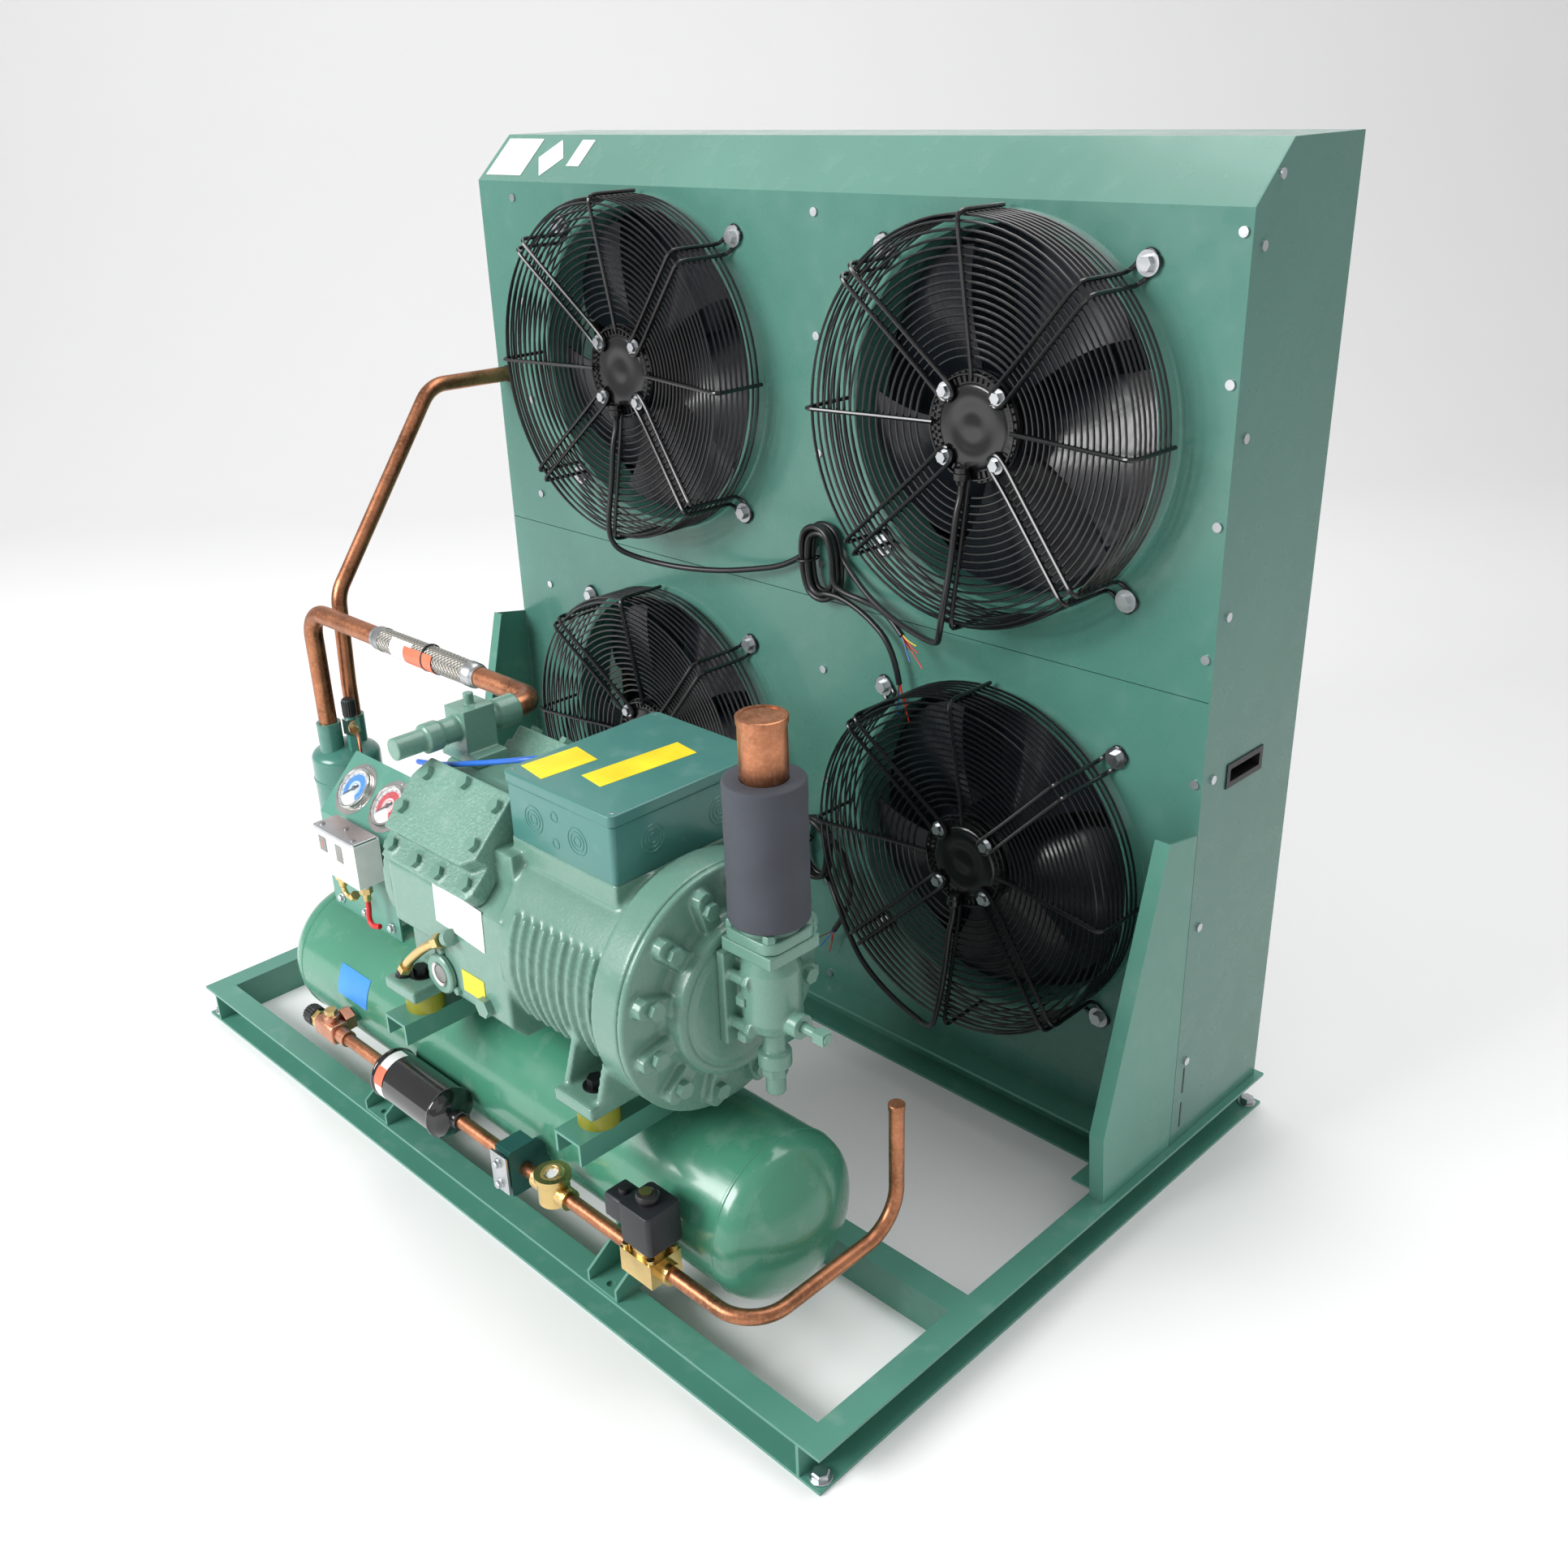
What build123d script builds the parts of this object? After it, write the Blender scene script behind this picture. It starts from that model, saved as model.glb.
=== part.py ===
from build123d import *
from math import atan2, cos, pi, radians, sin, sqrt, tan
import os

os.makedirs("parts", exist_ok=True)

# Air-cooled condensing unit. Millimetres, X along the fan wall, Y from the front rail
# towards the coil, Z up, origin at the bottom centre of the base frame.

# driving dimensions of the base
base_width = 1450.0
base_depth = 975.0
rail_height = 56.0
rail_flange = 37.0
rail_wall = 4.5
anchor_x = 711.0
anchor_y = 471.0
anchor_radius = 7.0

# driving dimensions of the casing
case_half = 714.6
front_y = 241.0
back_y = 477.0
top_z = 1367.0
slope_z = 1300.0
slope_y = 313.0
seam_z = 728.0
sheet = 2.0
fan_columns = (-299.0, 388.0)
fan_rows = (420.0, 1036.0)
nozzle_radius = 238.0
guard_foot_radius = 284.3
foot_hole = 5.3
cable_radius = 4.5

# driving dimensions of the machine on the front half
machine_y = -333.0
tank_z = 183.0
tank_radius = 109.5
tank_wall = 4.0
tank_left = -440.0
tank_right = 514.0
dome_depth = 68.0
crank_z = 476.0
stand_x = (-17.0, 353.0)
stand_y = (-469.0, -197.0)
stand_z = 348.0
saddle_x = (-182.0, 347.0)
bracket_top = 318.0
suction_x = 519.0
discharge_x = -34.0
liquid_y = -480.0
liquid_z = 165.0
separator_x = -640.0
separator_y = -203.0

base_plane = Plane.XY
front_plane = Plane(origin=(0, 0, 0), x_dir=(1, 0, 0), z_dir=(0, -1, 0))
side_plane = Plane.YZ


def finish(part, name):
    """Label a finished piece and write its file."""
    part.label = name
    export_step(part, f"parts/{name}.step")


def block(low, high):
    """Rectangular block between two corners."""
    size = [high[axis] - low[axis] for axis in range(3)]
    middle = [(high[axis] + low[axis]) / 2 for axis in range(3)]
    with BuildPart() as piece:
        with Locations(tuple(middle)):
            Box(*size)
    return piece.part


def prism(plane, points, length):
    """Polygon on a plane, extruded along the plane's normal."""
    with BuildPart() as piece:
        with BuildSketch(plane):
            with BuildLine():
                Polyline(*points, close=True)
            make_face()
        extrude(amount=length)
    return piece.part


def rod(plane, points, radius, length):
    """Round rods at points of a plane, extruded along its normal."""
    with BuildPart() as piece:
        with BuildSketch(plane):
            with Locations(*points):
                Circle(radius)
        extrude(amount=length)
    return piece.part


def hex_rod(plane, points, across, length):
    """Hexagonal bars of a given width across flats."""
    with BuildPart() as piece:
        with BuildSketch(plane):
            with Locations(*points):
                RegularPolygon(across / sqrt(3), 6)
        extrude(amount=length)
    return piece.part


def turned(plane, profile):
    """Profile of (radius, distance along the axis) turned about a plane's normal."""
    axis = Axis(plane.origin, plane.z_dir)
    section = Plane(origin=plane.origin, x_dir=plane.x_dir, z_dir=plane.y_dir * -1)
    with BuildPart() as piece:
        with BuildSketch(section):
            with BuildLine():
                Polyline(*profile, close=True)
            make_face()
        revolve(axis=axis)
    return piece.part


def pipe(points, bends, outer, inner=0.0):
    """Tube of straight runs joined by tangent arcs."""
    with BuildPart() as piece:
        with BuildLine() as path:
            if bends:
                FilletPolyline(*points, radius=bends)
            else:
                Line(points[0], points[-1])
        with BuildSketch(Plane(origin=path.line @ 0, z_dir=path.line % 0)):
            Circle(outer)
            if inner:
                Circle(inner, mode=Mode.SUBTRACT)
        sweep(path=path.line)
    return piece.part


def around(radius, angles):
    """Points on a circle at given angles in degrees."""
    return [(radius * cos(radians(a)), radius * sin(radians(a))) for a in angles]


def cord(points, radius):
    """Round cord whose bends use as much of the neighbouring runs as they can."""
    spots = [Vector(*point) for point in points]
    bends = []
    for before, here, after in zip(spots, spots[1:], spots[2:]):
        turn = radians((here - before).get_angle(after - here))
        run = min((here - before).length, (after - here).length)
        bends.append(0.45 * run / tan(turn / 2))
    print("cord bends", [round(bend) for bend in bends])
    return pipe(points, bends, radius)


# ---------------------------------------------------------------- base frame
channel_profile = [
    (0, 0),
    (rail_flange, 0),
    (rail_flange, rail_wall),
    (rail_wall, rail_wall),
    (rail_wall, rail_height - rail_wall),
    (rail_flange, rail_height - rail_wall),
    (rail_flange, rail_height),
    (0, rail_height),
]
rail_inner_x = base_width / 2 - rail_flange
rail_inner_y = base_depth / 2 - rail_flange

with BuildPart() as side_rails:
    rail_plane = Plane(origin=(rail_inner_x, base_depth / 2, 0), x_dir=(1, 0, 0), z_dir=(0, -1, 0))
    add(prism(rail_plane, channel_profile, base_depth))
    anchor_points = [(anchor_x, anchor_y), (anchor_x, -anchor_y)]
    add(rod(base_plane, anchor_points, anchor_radius, 2 * rail_wall), mode=Mode.SUBTRACT)
    mirror(about=Plane.YZ)
finish(side_rails.part, "side_rails")

with BuildPart() as end_rails:
    end_plane = Plane(origin=(rail_inner_x, -rail_inner_y, 0), x_dir=(0, -1, 0), z_dir=(-1, 0, 0))
    add(prism(end_plane, channel_profile, 2 * rail_inner_x))
    mirror(about=Plane.XZ)
finish(end_rails.part, "end_rails")

cross_y = -215.0
casing_flange = 48.0
with BuildPart() as cross_beams:
    cross_plane = Plane(origin=(-rail_inner_x, cross_y, 0), x_dir=(0, 1, 0), z_dir=(1, 0, 0))
    add(prism(cross_plane, channel_profile, 2 * rail_inner_x))
    casing_profile = [(min(x * casing_flange / rail_flange, casing_flange), z) for x, z in channel_profile]
    casing_plane = Plane(origin=(rail_inner_x, front_y + sheet, 0), x_dir=(0, -1, 0), z_dir=(-1, 0, 0))
    add(prism(casing_plane, casing_profile, 2 * rail_inner_x))
finish(cross_beams.part, "cross_beams")

# ---------------------------------------------------------------- casing
handle_y = 344.0
handle_z = 609.0
case_outline = [
    (front_y, rail_height),
    (back_y, rail_height),
    (back_y, top_z),
    (slope_y, top_z),
    (front_y, slope_z),
]
with BuildPart() as side_panels:
    add(prism(side_plane.offset(case_half - sheet), case_outline, sheet))
    add(block((case_half - 22, back_y - sheet, rail_height), (case_half - sheet, back_y, top_z)))
    add(block((case_half - 5, handle_y - 41, handle_z - 13), (case_half + 1, handle_y + 41, handle_z + 13)),
        mode=Mode.SUBTRACT)
    mirror(about=Plane.YZ)
finish(side_panels.part, "side_panels")

inner_half = case_half - sheet
hood_back = back_y - sheet
hood_outline = [
    (front_y, slope_z),
    (slope_y, top_z),
    (hood_back, top_z),
    (hood_back, top_z - sheet),
    (slope_y + 0.8, top_z - sheet),
    (front_y + 2.7, slope_z),
]
with BuildPart() as top_hood:
    add(prism(side_plane.offset(-inner_half), hood_outline, 2 * inner_half))
    add(block((22 - case_half, hood_back - sheet, top_z - 30), (case_half - 22, hood_back, top_z)))
finish(top_hood.part, "top_hood")

handle_low = (case_half - 24, handle_y - 40, handle_z - 12)
handle_high = (case_half + 1, handle_y + 40, handle_z + 12)
with BuildPart() as pocket_handles:
    add(block(handle_low, handle_high))
    add(block((case_half, handle_y - 45, handle_z - 17), (case_half + 2, handle_y + 45, handle_z + 17)))
    add(block((case_half - 22, handle_y - 37, handle_z - 9), (case_half + 2, handle_y + 37, handle_z + 9)),
        mode=Mode.SUBTRACT)
    mirror(about=Plane.YZ)
finish(pocket_handles.part, "pocket_handles")

hot_gas_x = -690.0
hot_gas_z = 985.0
nozzle_base = nozzle_radius + 18
diagonals = [45, 135, 225, 315]
nozzle_rise = 17.0
nozzle_profile = [
    (nozzle_base, -front_y),
    (nozzle_radius + 6, nozzle_rise - front_y),
    (nozzle_radius, nozzle_rise - front_y),
    (nozzle_radius, -front_y - 50),
    (nozzle_radius + sheet, -front_y - 50),
    (nozzle_radius + sheet, nozzle_rise - front_y - sheet),
    (nozzle_radius + 5, nozzle_rise - front_y - sheet),
    (nozzle_base - 1, -front_y - sheet),
    (nozzle_base, -front_y - sheet),
]


def fan_panel(low_z, high_z, return_z, fan_z):
    """Front sheet with folded edges and two raised nozzles."""
    fold = 24.0
    with BuildPart() as panel:
        add(block((-inner_half, front_y, low_z), (inner_half, front_y + sheet, high_z)))
        add(block((-inner_half, front_y, return_z), (inner_half, front_y + fold, return_z + sheet)))
        add(block((-inner_half, front_y, low_z), (sheet - inner_half, front_y + fold, high_z)))
        add(block((inner_half - sheet, front_y, low_z), (inner_half, front_y + fold, high_z)))
        for fan_x in fan_columns:
            fan_plane = Plane(origin=(fan_x, 0, fan_z), x_dir=(1, 0, 0), z_dir=(0, -1, 0))
            add(rod(fan_plane.offset(-front_y - 5), [(0, 0)], nozzle_base, 10), mode=Mode.SUBTRACT)
            add(turned(fan_plane, nozzle_profile))
            add(rod(fan_plane.offset(-front_y - 5), around(guard_foot_radius, diagonals), foot_hole, 10),
                mode=Mode.SUBTRACT)
    return panel.part


with BuildPart() as fan_panel_lower:
    add(fan_panel(rail_height, seam_z - 0.6, seam_z - 0.6 - sheet, fan_rows[0]))
finish(fan_panel_lower.part, "fan_panel_lower")

with BuildPart() as fan_panel_upper:
    add(fan_panel(seam_z + 0.6, slope_z, seam_z + 0.6, fan_rows[1]))
    add(rod(front_plane.offset(-front_y - 5), [(hot_gas_x, hot_gas_z)], 14, 10), mode=Mode.SUBTRACT)
finish(fan_panel_upper.part, "fan_panel_upper")

gusset_outline = [(78, rail_height), (68, 164), (174, 559), (front_y - 1, 547), (front_y - 1, rail_height)]
gusset_fold = 22.0
with BuildPart() as gussets:
    add(prism(side_plane.offset(case_half - 3), gusset_outline, 3))
    fold_outline = [(78, rail_height), (68, 164), (174, 559), (177, 559), (71, 163.6), (81, rail_height)]
    add(prism(side_plane.offset(case_half - gusset_fold), fold_outline, gusset_fold))
    add(block((case_half - 60, 90, rail_height), (case_half - 3, front_y - 1, rail_height + 3)))
    mirror(about=Plane.YZ)
finish(gussets.part, "gussets")

# ---------------------------------------------------------------- coil
coil_left = -605.0
coil_right = 665.0
coil_front = 392.0
coil_back = 456.0
tube_rows = (410.0, 438.0)
tube_pitch = 62.0
hairpins = 10
tube_radius = 6.0
header_x = -632.0
header_radius = 12.0


def hairpin_levels(index):
    """Heights of the two legs of one hairpin."""
    lower = 95.0 + 2 * tube_pitch * index
    return lower, lower + tube_pitch


leg_points = [(row, z) for row in tube_rows for k in range(hairpins) for z in hairpin_levels(k)]
with BuildPart() as coil_fins:
    add(block((coil_left, coil_front, 64), (coil_right, coil_back, 1345)))
    for plate_x in (coil_left, coil_right - 2):
        add(block((plate_x, coil_front - 8, rail_height), (plate_x + 2, hood_back - 3, 1352)))
    add(rod(side_plane.offset(coil_left - 5), leg_points, tube_radius + 0.2, coil_right - coil_left + 10),
        mode=Mode.SUBTRACT)
finish(coil_fins.part, "coil_fins")

with BuildPart() as hairpin_tubes:
    for row in tube_rows:
        for k in range(hairpins):
            low_leg, high_leg = hairpin_levels(k)
            hairpin = [(header_x + 8, row, low_leg), (coil_right + 34, row, low_leg),
                       (coil_right + 34, row, high_leg), (header_x + 8, row, high_leg)]
            add(pipe(hairpin, [tube_pitch / 2 - 1] * 2, tube_radius))
with BuildPart() as coil_headers:
    for row in tube_rows:
        add(rod(Plane.XY.offset(70), [(header_x, row)], header_radius, 1255))
        add(rod(Plane.XY.offset(74), [(header_x, row)], header_radius - 1.5, 1247), mode=Mode.SUBTRACT)
    add(rod(side_plane.offset(header_x), leg_points, tube_radius, 40), mode=Mode.SUBTRACT)
finish(Compound(children=[coil_headers.part, hairpin_tubes.part]), "coil_tubes")

# ---------------------------------------------------------------- fans
hub_radius = 68.0
motor_face = 178.0
blade_count = 5
blade_y = 262.0
blade_tilt = radians(26)
fan_axis_plane = Plane(origin=(0, 0, 0), x_dir=(1, 0, 0), z_dir=(0, -1, 0))
hub_bolt_radius = 59.0
gland_x = -8.0
gland_y = 167.5
gland_radius = 11.0
gland_end = 72.0

blade_plane = Plane(origin=(0, blade_y, 0), x_dir=(1, 0, 0), z_dir=(0, -cos(blade_tilt), sin(blade_tilt)))


def fan_blade():
    """Broad swept blade from the hub to near the nozzle."""
    with BuildPart() as blade:
        with BuildSketch(blade_plane):
            with BuildLine():
                ThreePointArc((60, -38), (130, -52), (190, -118))
                ThreePointArc((190, -118), (219, -46.6), (222, 30))
                ThreePointArc((222, 30), (140, 34), (60, 40))
                Line((60, 40), (60, -38))
            make_face()
        extrude(amount=1.25, both=True)
    return blade.part


with BuildPart() as impeller:
    cup_profile = [(52, -196), (hub_radius, -196), (hub_radius, -284), (8.04, -284), (8.04, -264),
                   (16, -264), (16, -278), (52, -278)]
    add(turned(fan_axis_plane, cup_profile))
    for turn in range(blade_count):
        add(fan_blade().rotate(Axis.Y, 360 / blade_count * turn))
    hollow_profile = [(0, -190), (51, -190), (51, -277.9), (16.1, -277.9), (16.1, -264), (0, -264)]
    add(turned(fan_axis_plane, hollow_profile), mode=Mode.SUBTRACT)
fan_names = ["lower_left", "upper_left", "lower_right", "upper_right"]
fan_centres = [(x, 0, z) for x in fan_columns for z in fan_rows]
for fan_name, centre in zip(fan_names, fan_centres):
    with BuildPart() as placed_impeller:
        with Locations(centre):
            add(impeller.part)
    finish(placed_impeller.part, f"impeller_{fan_name}")

with BuildPart() as fan_motor:
    motor_profile = [(0, -motor_face), (72, -motor_face), (72, -motor_face - 10), (46, -motor_face - 10),
                     (46, -258), (7.98, -258), (7.98, -281), (0, -281)]
    add(turned(fan_axis_plane, motor_profile))
    add(rod(base_plane.offset(-gland_end), [(gland_x, gland_y)], gland_radius, 22))
    add(rod(fan_axis_plane.offset(-motor_face - 12), around(hub_bolt_radius, diagonals), 4.2, 20),
        mode=Mode.SUBTRACT)
with BuildPart() as fan_motors:
    with Locations(*fan_centres):
        add(fan_motor.part)
finish(fan_motors.part, "fan_motors")

rim_radius = 254.0
wire = 4.0
ring_wire = 3.6
arm_path = [(55, 174), (72, 174), (242, 143), (256, 149), (256, 228), (268.5, 237), (284, 237),
            (284, 241), (266, 241), (252, 231), (252, 152), (242, 147), (72, 178), (55, 178)]
spoke_path = [(76, 173.3), (242, 143), (256, 149), (256, 226),
              (252, 226), (252, 152), (242, 147), (76, 177.3)]
face_rings = [94, 114, 134, 154, 174, 194, 214, 232]
rim_rings = [158, 180, 202, 222]


def wire_strip(path, angle, offset):
    """Bent wire lying in a plane through the fan axis, moved sideways."""
    radial = (cos(radians(angle)), 0, sin(radians(angle)))
    tangent = (-sin(radians(angle)), 0, cos(radians(angle)))
    origin = tuple(offset * part for part in tangent)
    plane = Plane(origin=origin, x_dir=radial, z_dir=tangent)
    flip = 1 if plane.y_dir.Y > 0 else -1
    with BuildPart() as strip:
        with BuildSketch(plane):
            with BuildLine():
                Polyline(*[(r, flip * y) for r, y in path], close=True)
            make_face()
        extrude(amount=wire / 2, both=True)
    return strip.part


with BuildPart() as guard:
    half = ring_wire / 2
    for r in face_rings:
        y = 176 - (r - 72) * 31 / 170
        add(turned(fan_axis_plane, [(r - half, -y - half), (r + half, -y - half),
                                    (r + half, -y + half), (r - half, -y + half)]))
    for y in rim_rings:
        add(turned(fan_axis_plane, [(rim_radius - half, -y - half), (rim_radius + half, -y - half),
                                    (rim_radius + half, -y + half), (rim_radius - half, -y + half)]))
    for angle in diagonals:
        for offset in (-9, 9):
            add(wire_strip(arm_path, angle, offset))
    for angle in (0, 90, 180, 270):
        add(wire_strip(spoke_path, angle, 0))
    add(rod(fan_axis_plane.offset(-motor_face), around(hub_bolt_radius, diagonals), 10, 4))
    add(rod(fan_axis_plane.offset(-front_y), around(guard_foot_radius, diagonals), 13, 4))
    add(rod(fan_axis_plane.offset(-motor_face), around(hub_bolt_radius, diagonals), 4.3, 5),
        mode=Mode.SUBTRACT)
    add(rod(fan_axis_plane.offset(-front_y), around(guard_foot_radius, diagonals), foot_hole, 6),
        mode=Mode.SUBTRACT)
with BuildPart() as fan_guards:
    with Locations(*fan_centres):
        add(guard.part)
finish(fan_guards.part, "fan_guards")

# ---------------------------------------------------------------- casing fasteners
screw_columns = (-622.0, 61.0, 704.0)
screw_rows = (72.0, 250.0, 430.0, 616.0, 783.0, 948.0, 1112.0, 1275.0)
side_screws = [(264, 190), (264, 403), (264, 618), (264, 834), (264, 1049), (264, 1259), (290, 1331)]
with BuildPart() as casing_fasteners:
    for fan_x, _, fan_z in fan_centres:
        fan_plane = Plane(origin=(fan_x, 0, fan_z), x_dir=(1, 0, 0), z_dir=(0, -1, 0))
        add(rod(fan_plane.offset(4 - front_y), around(guard_foot_radius, diagonals), 15, 2))
        add(hex_rod(fan_plane.offset(6 - front_y), around(guard_foot_radius, diagonals), 16, 8))
        add(rod(fan_plane.offset(-front_y - 12), around(guard_foot_radius, diagonals), 5, 16))
        add(rod(fan_plane.offset(4 - motor_face), around(hub_bolt_radius, diagonals), 11, 2))
        add(hex_rod(fan_plane.offset(6 - motor_face), around(hub_bolt_radius, diagonals), 13, 7))
        add(rod(fan_plane.offset(-motor_face - 12), around(hub_bolt_radius, diagonals), 4, 16))
    add(rod(front_plane.offset(-front_y), [(x, z) for x in screw_columns for z in screw_rows], 6, 3))
    add(rod(side_plane.offset(case_half), side_screws, 6, 3))
    add(rod(side_plane.offset(-case_half - 3), side_screws, 6, 3))
finish(casing_fasteners.part, "casing_fasteners")

# ---------------------------------------------------------------- receiver


def capsule(plane, length, radius, depth):
    """Cylinder with dished ends, each a knuckle and a crown arc, turned about the plane's normal."""
    knuckle = 0.58 * depth
    rim = radius - knuckle
    crown = (rim ** 2 + depth ** 2 - knuckle ** 2) / (2 * (depth - knuckle))
    section = Plane(origin=plane.origin, x_dir=plane.x_dir, z_dir=plane.y_dir * -1)
    join = atan2(crown - depth, rim)
    with BuildPart() as piece:
        with BuildSketch(section):
            with BuildLine():
                Line((0, -depth), (0, length + depth))
                for base, side in ((length, 1), (0, -1)):
                    centre = base + side * (depth - crown)
                    crown_arc = [(crown * cos(a), centre + side * crown * sin(a))
                                 for a in (pi / 2, (pi / 2 + join) / 2, join)]
                    knuckle_arc = [(rim + knuckle * cos(a), base + side * knuckle * sin(a))
                                   for a in (join, join / 2, 0)]
                    ThreePointArc(*crown_arc)
                    ThreePointArc(*knuckle_arc)
                Line((radius, 0), (radius, length))
            make_face()
        revolve(axis=Axis(plane.origin, plane.z_dir))
    return piece.part


tank_plane = Plane(origin=(tank_left, machine_y, tank_z), x_dir=(0, 1, 0), z_dir=(1, 0, 0))
tank_outside = capsule(tank_plane, tank_right - tank_left, tank_radius, dome_depth)
valve_x = -283.0
with BuildPart() as receiver:
    add(tank_outside)
    add(rod(front_plane.offset(-machine_y), [(valve_x, liquid_z + 8)], 13, 115))
    add(capsule(tank_plane, tank_right - tank_left, tank_radius - tank_wall, dome_depth - tank_wall),
        mode=Mode.SUBTRACT)
    add(rod(front_plane.offset(-machine_y + 60), [(valve_x, liquid_z + 8)], 7, 60), mode=Mode.SUBTRACT)
finish(receiver.part, "receiver")

foot_half = 29.0
foot_front = -486.0
foot_back = -180.0
wall_outline = [(foot_front, 60), (foot_front, 74), (-448, 100), (-425, 130), (-425, 150), (-241, 150),
                (-241, 130), (-218, 100), (foot_back, 74), (foot_back, 60)]
with BuildPart() as receiver_feet:
    for x in saddle_x:
        add(block((x - foot_half, foot_front, rail_height), (x + foot_half, foot_back, rail_height + 4)))
        for wall_x in (x - foot_half, x + foot_half - 4):
            add(prism(side_plane.offset(wall_x), wall_outline, 4))
    add(rod(side_plane.offset(saddle_x[0] - 60), [(machine_y, tank_z)], tank_radius + 0.05, 700),
        mode=Mode.SUBTRACT)
    add(rod(base_plane, [(x, y) for x in saddle_x for y in (-472, -194)], 5.5, 80), mode=Mode.SUBTRACT)
finish(receiver_feet.part, "receiver_feet")

bracket_half = 24.0
bracket_front = -518.0
bracket_back = 2 * machine_y - bracket_front
with BuildPart() as mount_brackets:
    for x in stand_x:
        add(block((x - bracket_half, bracket_front, bracket_top - 4),
                  (x + bracket_half, bracket_back, bracket_top)))
        for wall_x in (x - bracket_half, x + bracket_half - 4):
            add(block((wall_x, bracket_front, bracket_top - 31), (wall_x + 4, bracket_back, bracket_top - 4)))
    add(rod(side_plane.offset(stand_x[0] - 60), [(machine_y, tank_z)], tank_radius + 0.05, 600),
        mode=Mode.SUBTRACT)
    add(rod(base_plane.offset(300), [(x, y) for x in stand_x for y in stand_y], 6, 30), mode=Mode.SUBTRACT)
finish(mount_brackets.part, "mount_brackets")

with BuildPart() as rubber_mounts:
    with BuildSketch(base_plane.offset(bracket_top)):
        with Locations(*[(x, y) for x in stand_x for y in stand_y]):
            Circle(26)
            Circle(6.2, mode=Mode.SUBTRACT)
    extrude(amount=stand_z - bracket_top)
finish(rubber_mounts.part, "rubber_mounts")

# ---------------------------------------------------------------- compressor
case_left = -60.0
case_right = 190.0
case_width = 137.0
bank_distance = 130.0
crown_z = 635.0
bearing_radius = 18.02
shaft_radius = 17.96
slant = sqrt(0.5)
crown_half = case_width - (crown_z - crank_z - (bank_distance / slant - case_width))
bank_low_z = crank_z + bank_distance / slant - case_width
crankcase_outline = [
    (machine_y - case_width, 372),
    (machine_y - case_width + 22, stand_z),
    (machine_y + case_width - 22, stand_z),
    (machine_y + case_width, 372),
    (machine_y + case_width, bank_low_z),
    (machine_y + crown_half, crown_z),
    (machine_y - crown_half, crown_z),
    (machine_y - case_width, bank_low_z),
]
axis_point = [(machine_y, crank_z)]
cover_left = -103.0
cover_seat = -75.0
cover_radius = 127.0
motor_radius = 142.0
flange_radius = 158.0
flange_left = 384.0
flange_right = 430.0
motor_bore = 125.0
box_low = (165.0, -422.0, 617.0)
box_high = (363.0, -182.0, 690.0)
lid_top = 705.0
box_wall = 4.0
bore_radius = 28.05
bore_x = (18.0, 90.0)
foot_thickness = 18.0
front_bank = Plane(origin=(0, machine_y, crank_z), x_dir=(1, 0, 0), z_dir=(0, -slant, slant))
rear_bank = Plane(origin=(0, machine_y, crank_z), x_dir=(-1, 0, 0), z_dir=(0, slant, slant))


def stand_foot(x, y):
    """Cast foot with an upright web, bolt hole left open."""
    side = -1 if y < machine_y else 1
    inner_y = machine_y + side * 60
    outer_y = y + side * 36
    low_y = min(inner_y, outer_y)
    high_y = max(inner_y, outer_y)
    web = [(outer_y - side * 14, stand_z + foot_thickness), (machine_y + side * 134, stand_z + 92),
           (machine_y + side * 60, stand_z + 92), (machine_y + side * 60, stand_z + foot_thickness)]
    with BuildPart() as foot:
        add(block((x - 35, low_y, stand_z), (x + 35, high_y, stand_z + foot_thickness)))
        for web_x in (x - 35, x + 25):
            add(prism(side_plane.offset(web_x), web, 10))
    return foot.part


def motor_rib(rib_plane, rib_y):
    """Cooling rib on one side of the motor barrel."""
    with BuildPart() as rib_piece:
        add(rod(rib_plane, axis_point, motor_radius + 7, 8))
        add(block((0, rib_y, 400), (500, rib_y + 89, 545)), mode=Mode.INTERSECT)
    return rib_piece.part


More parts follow.
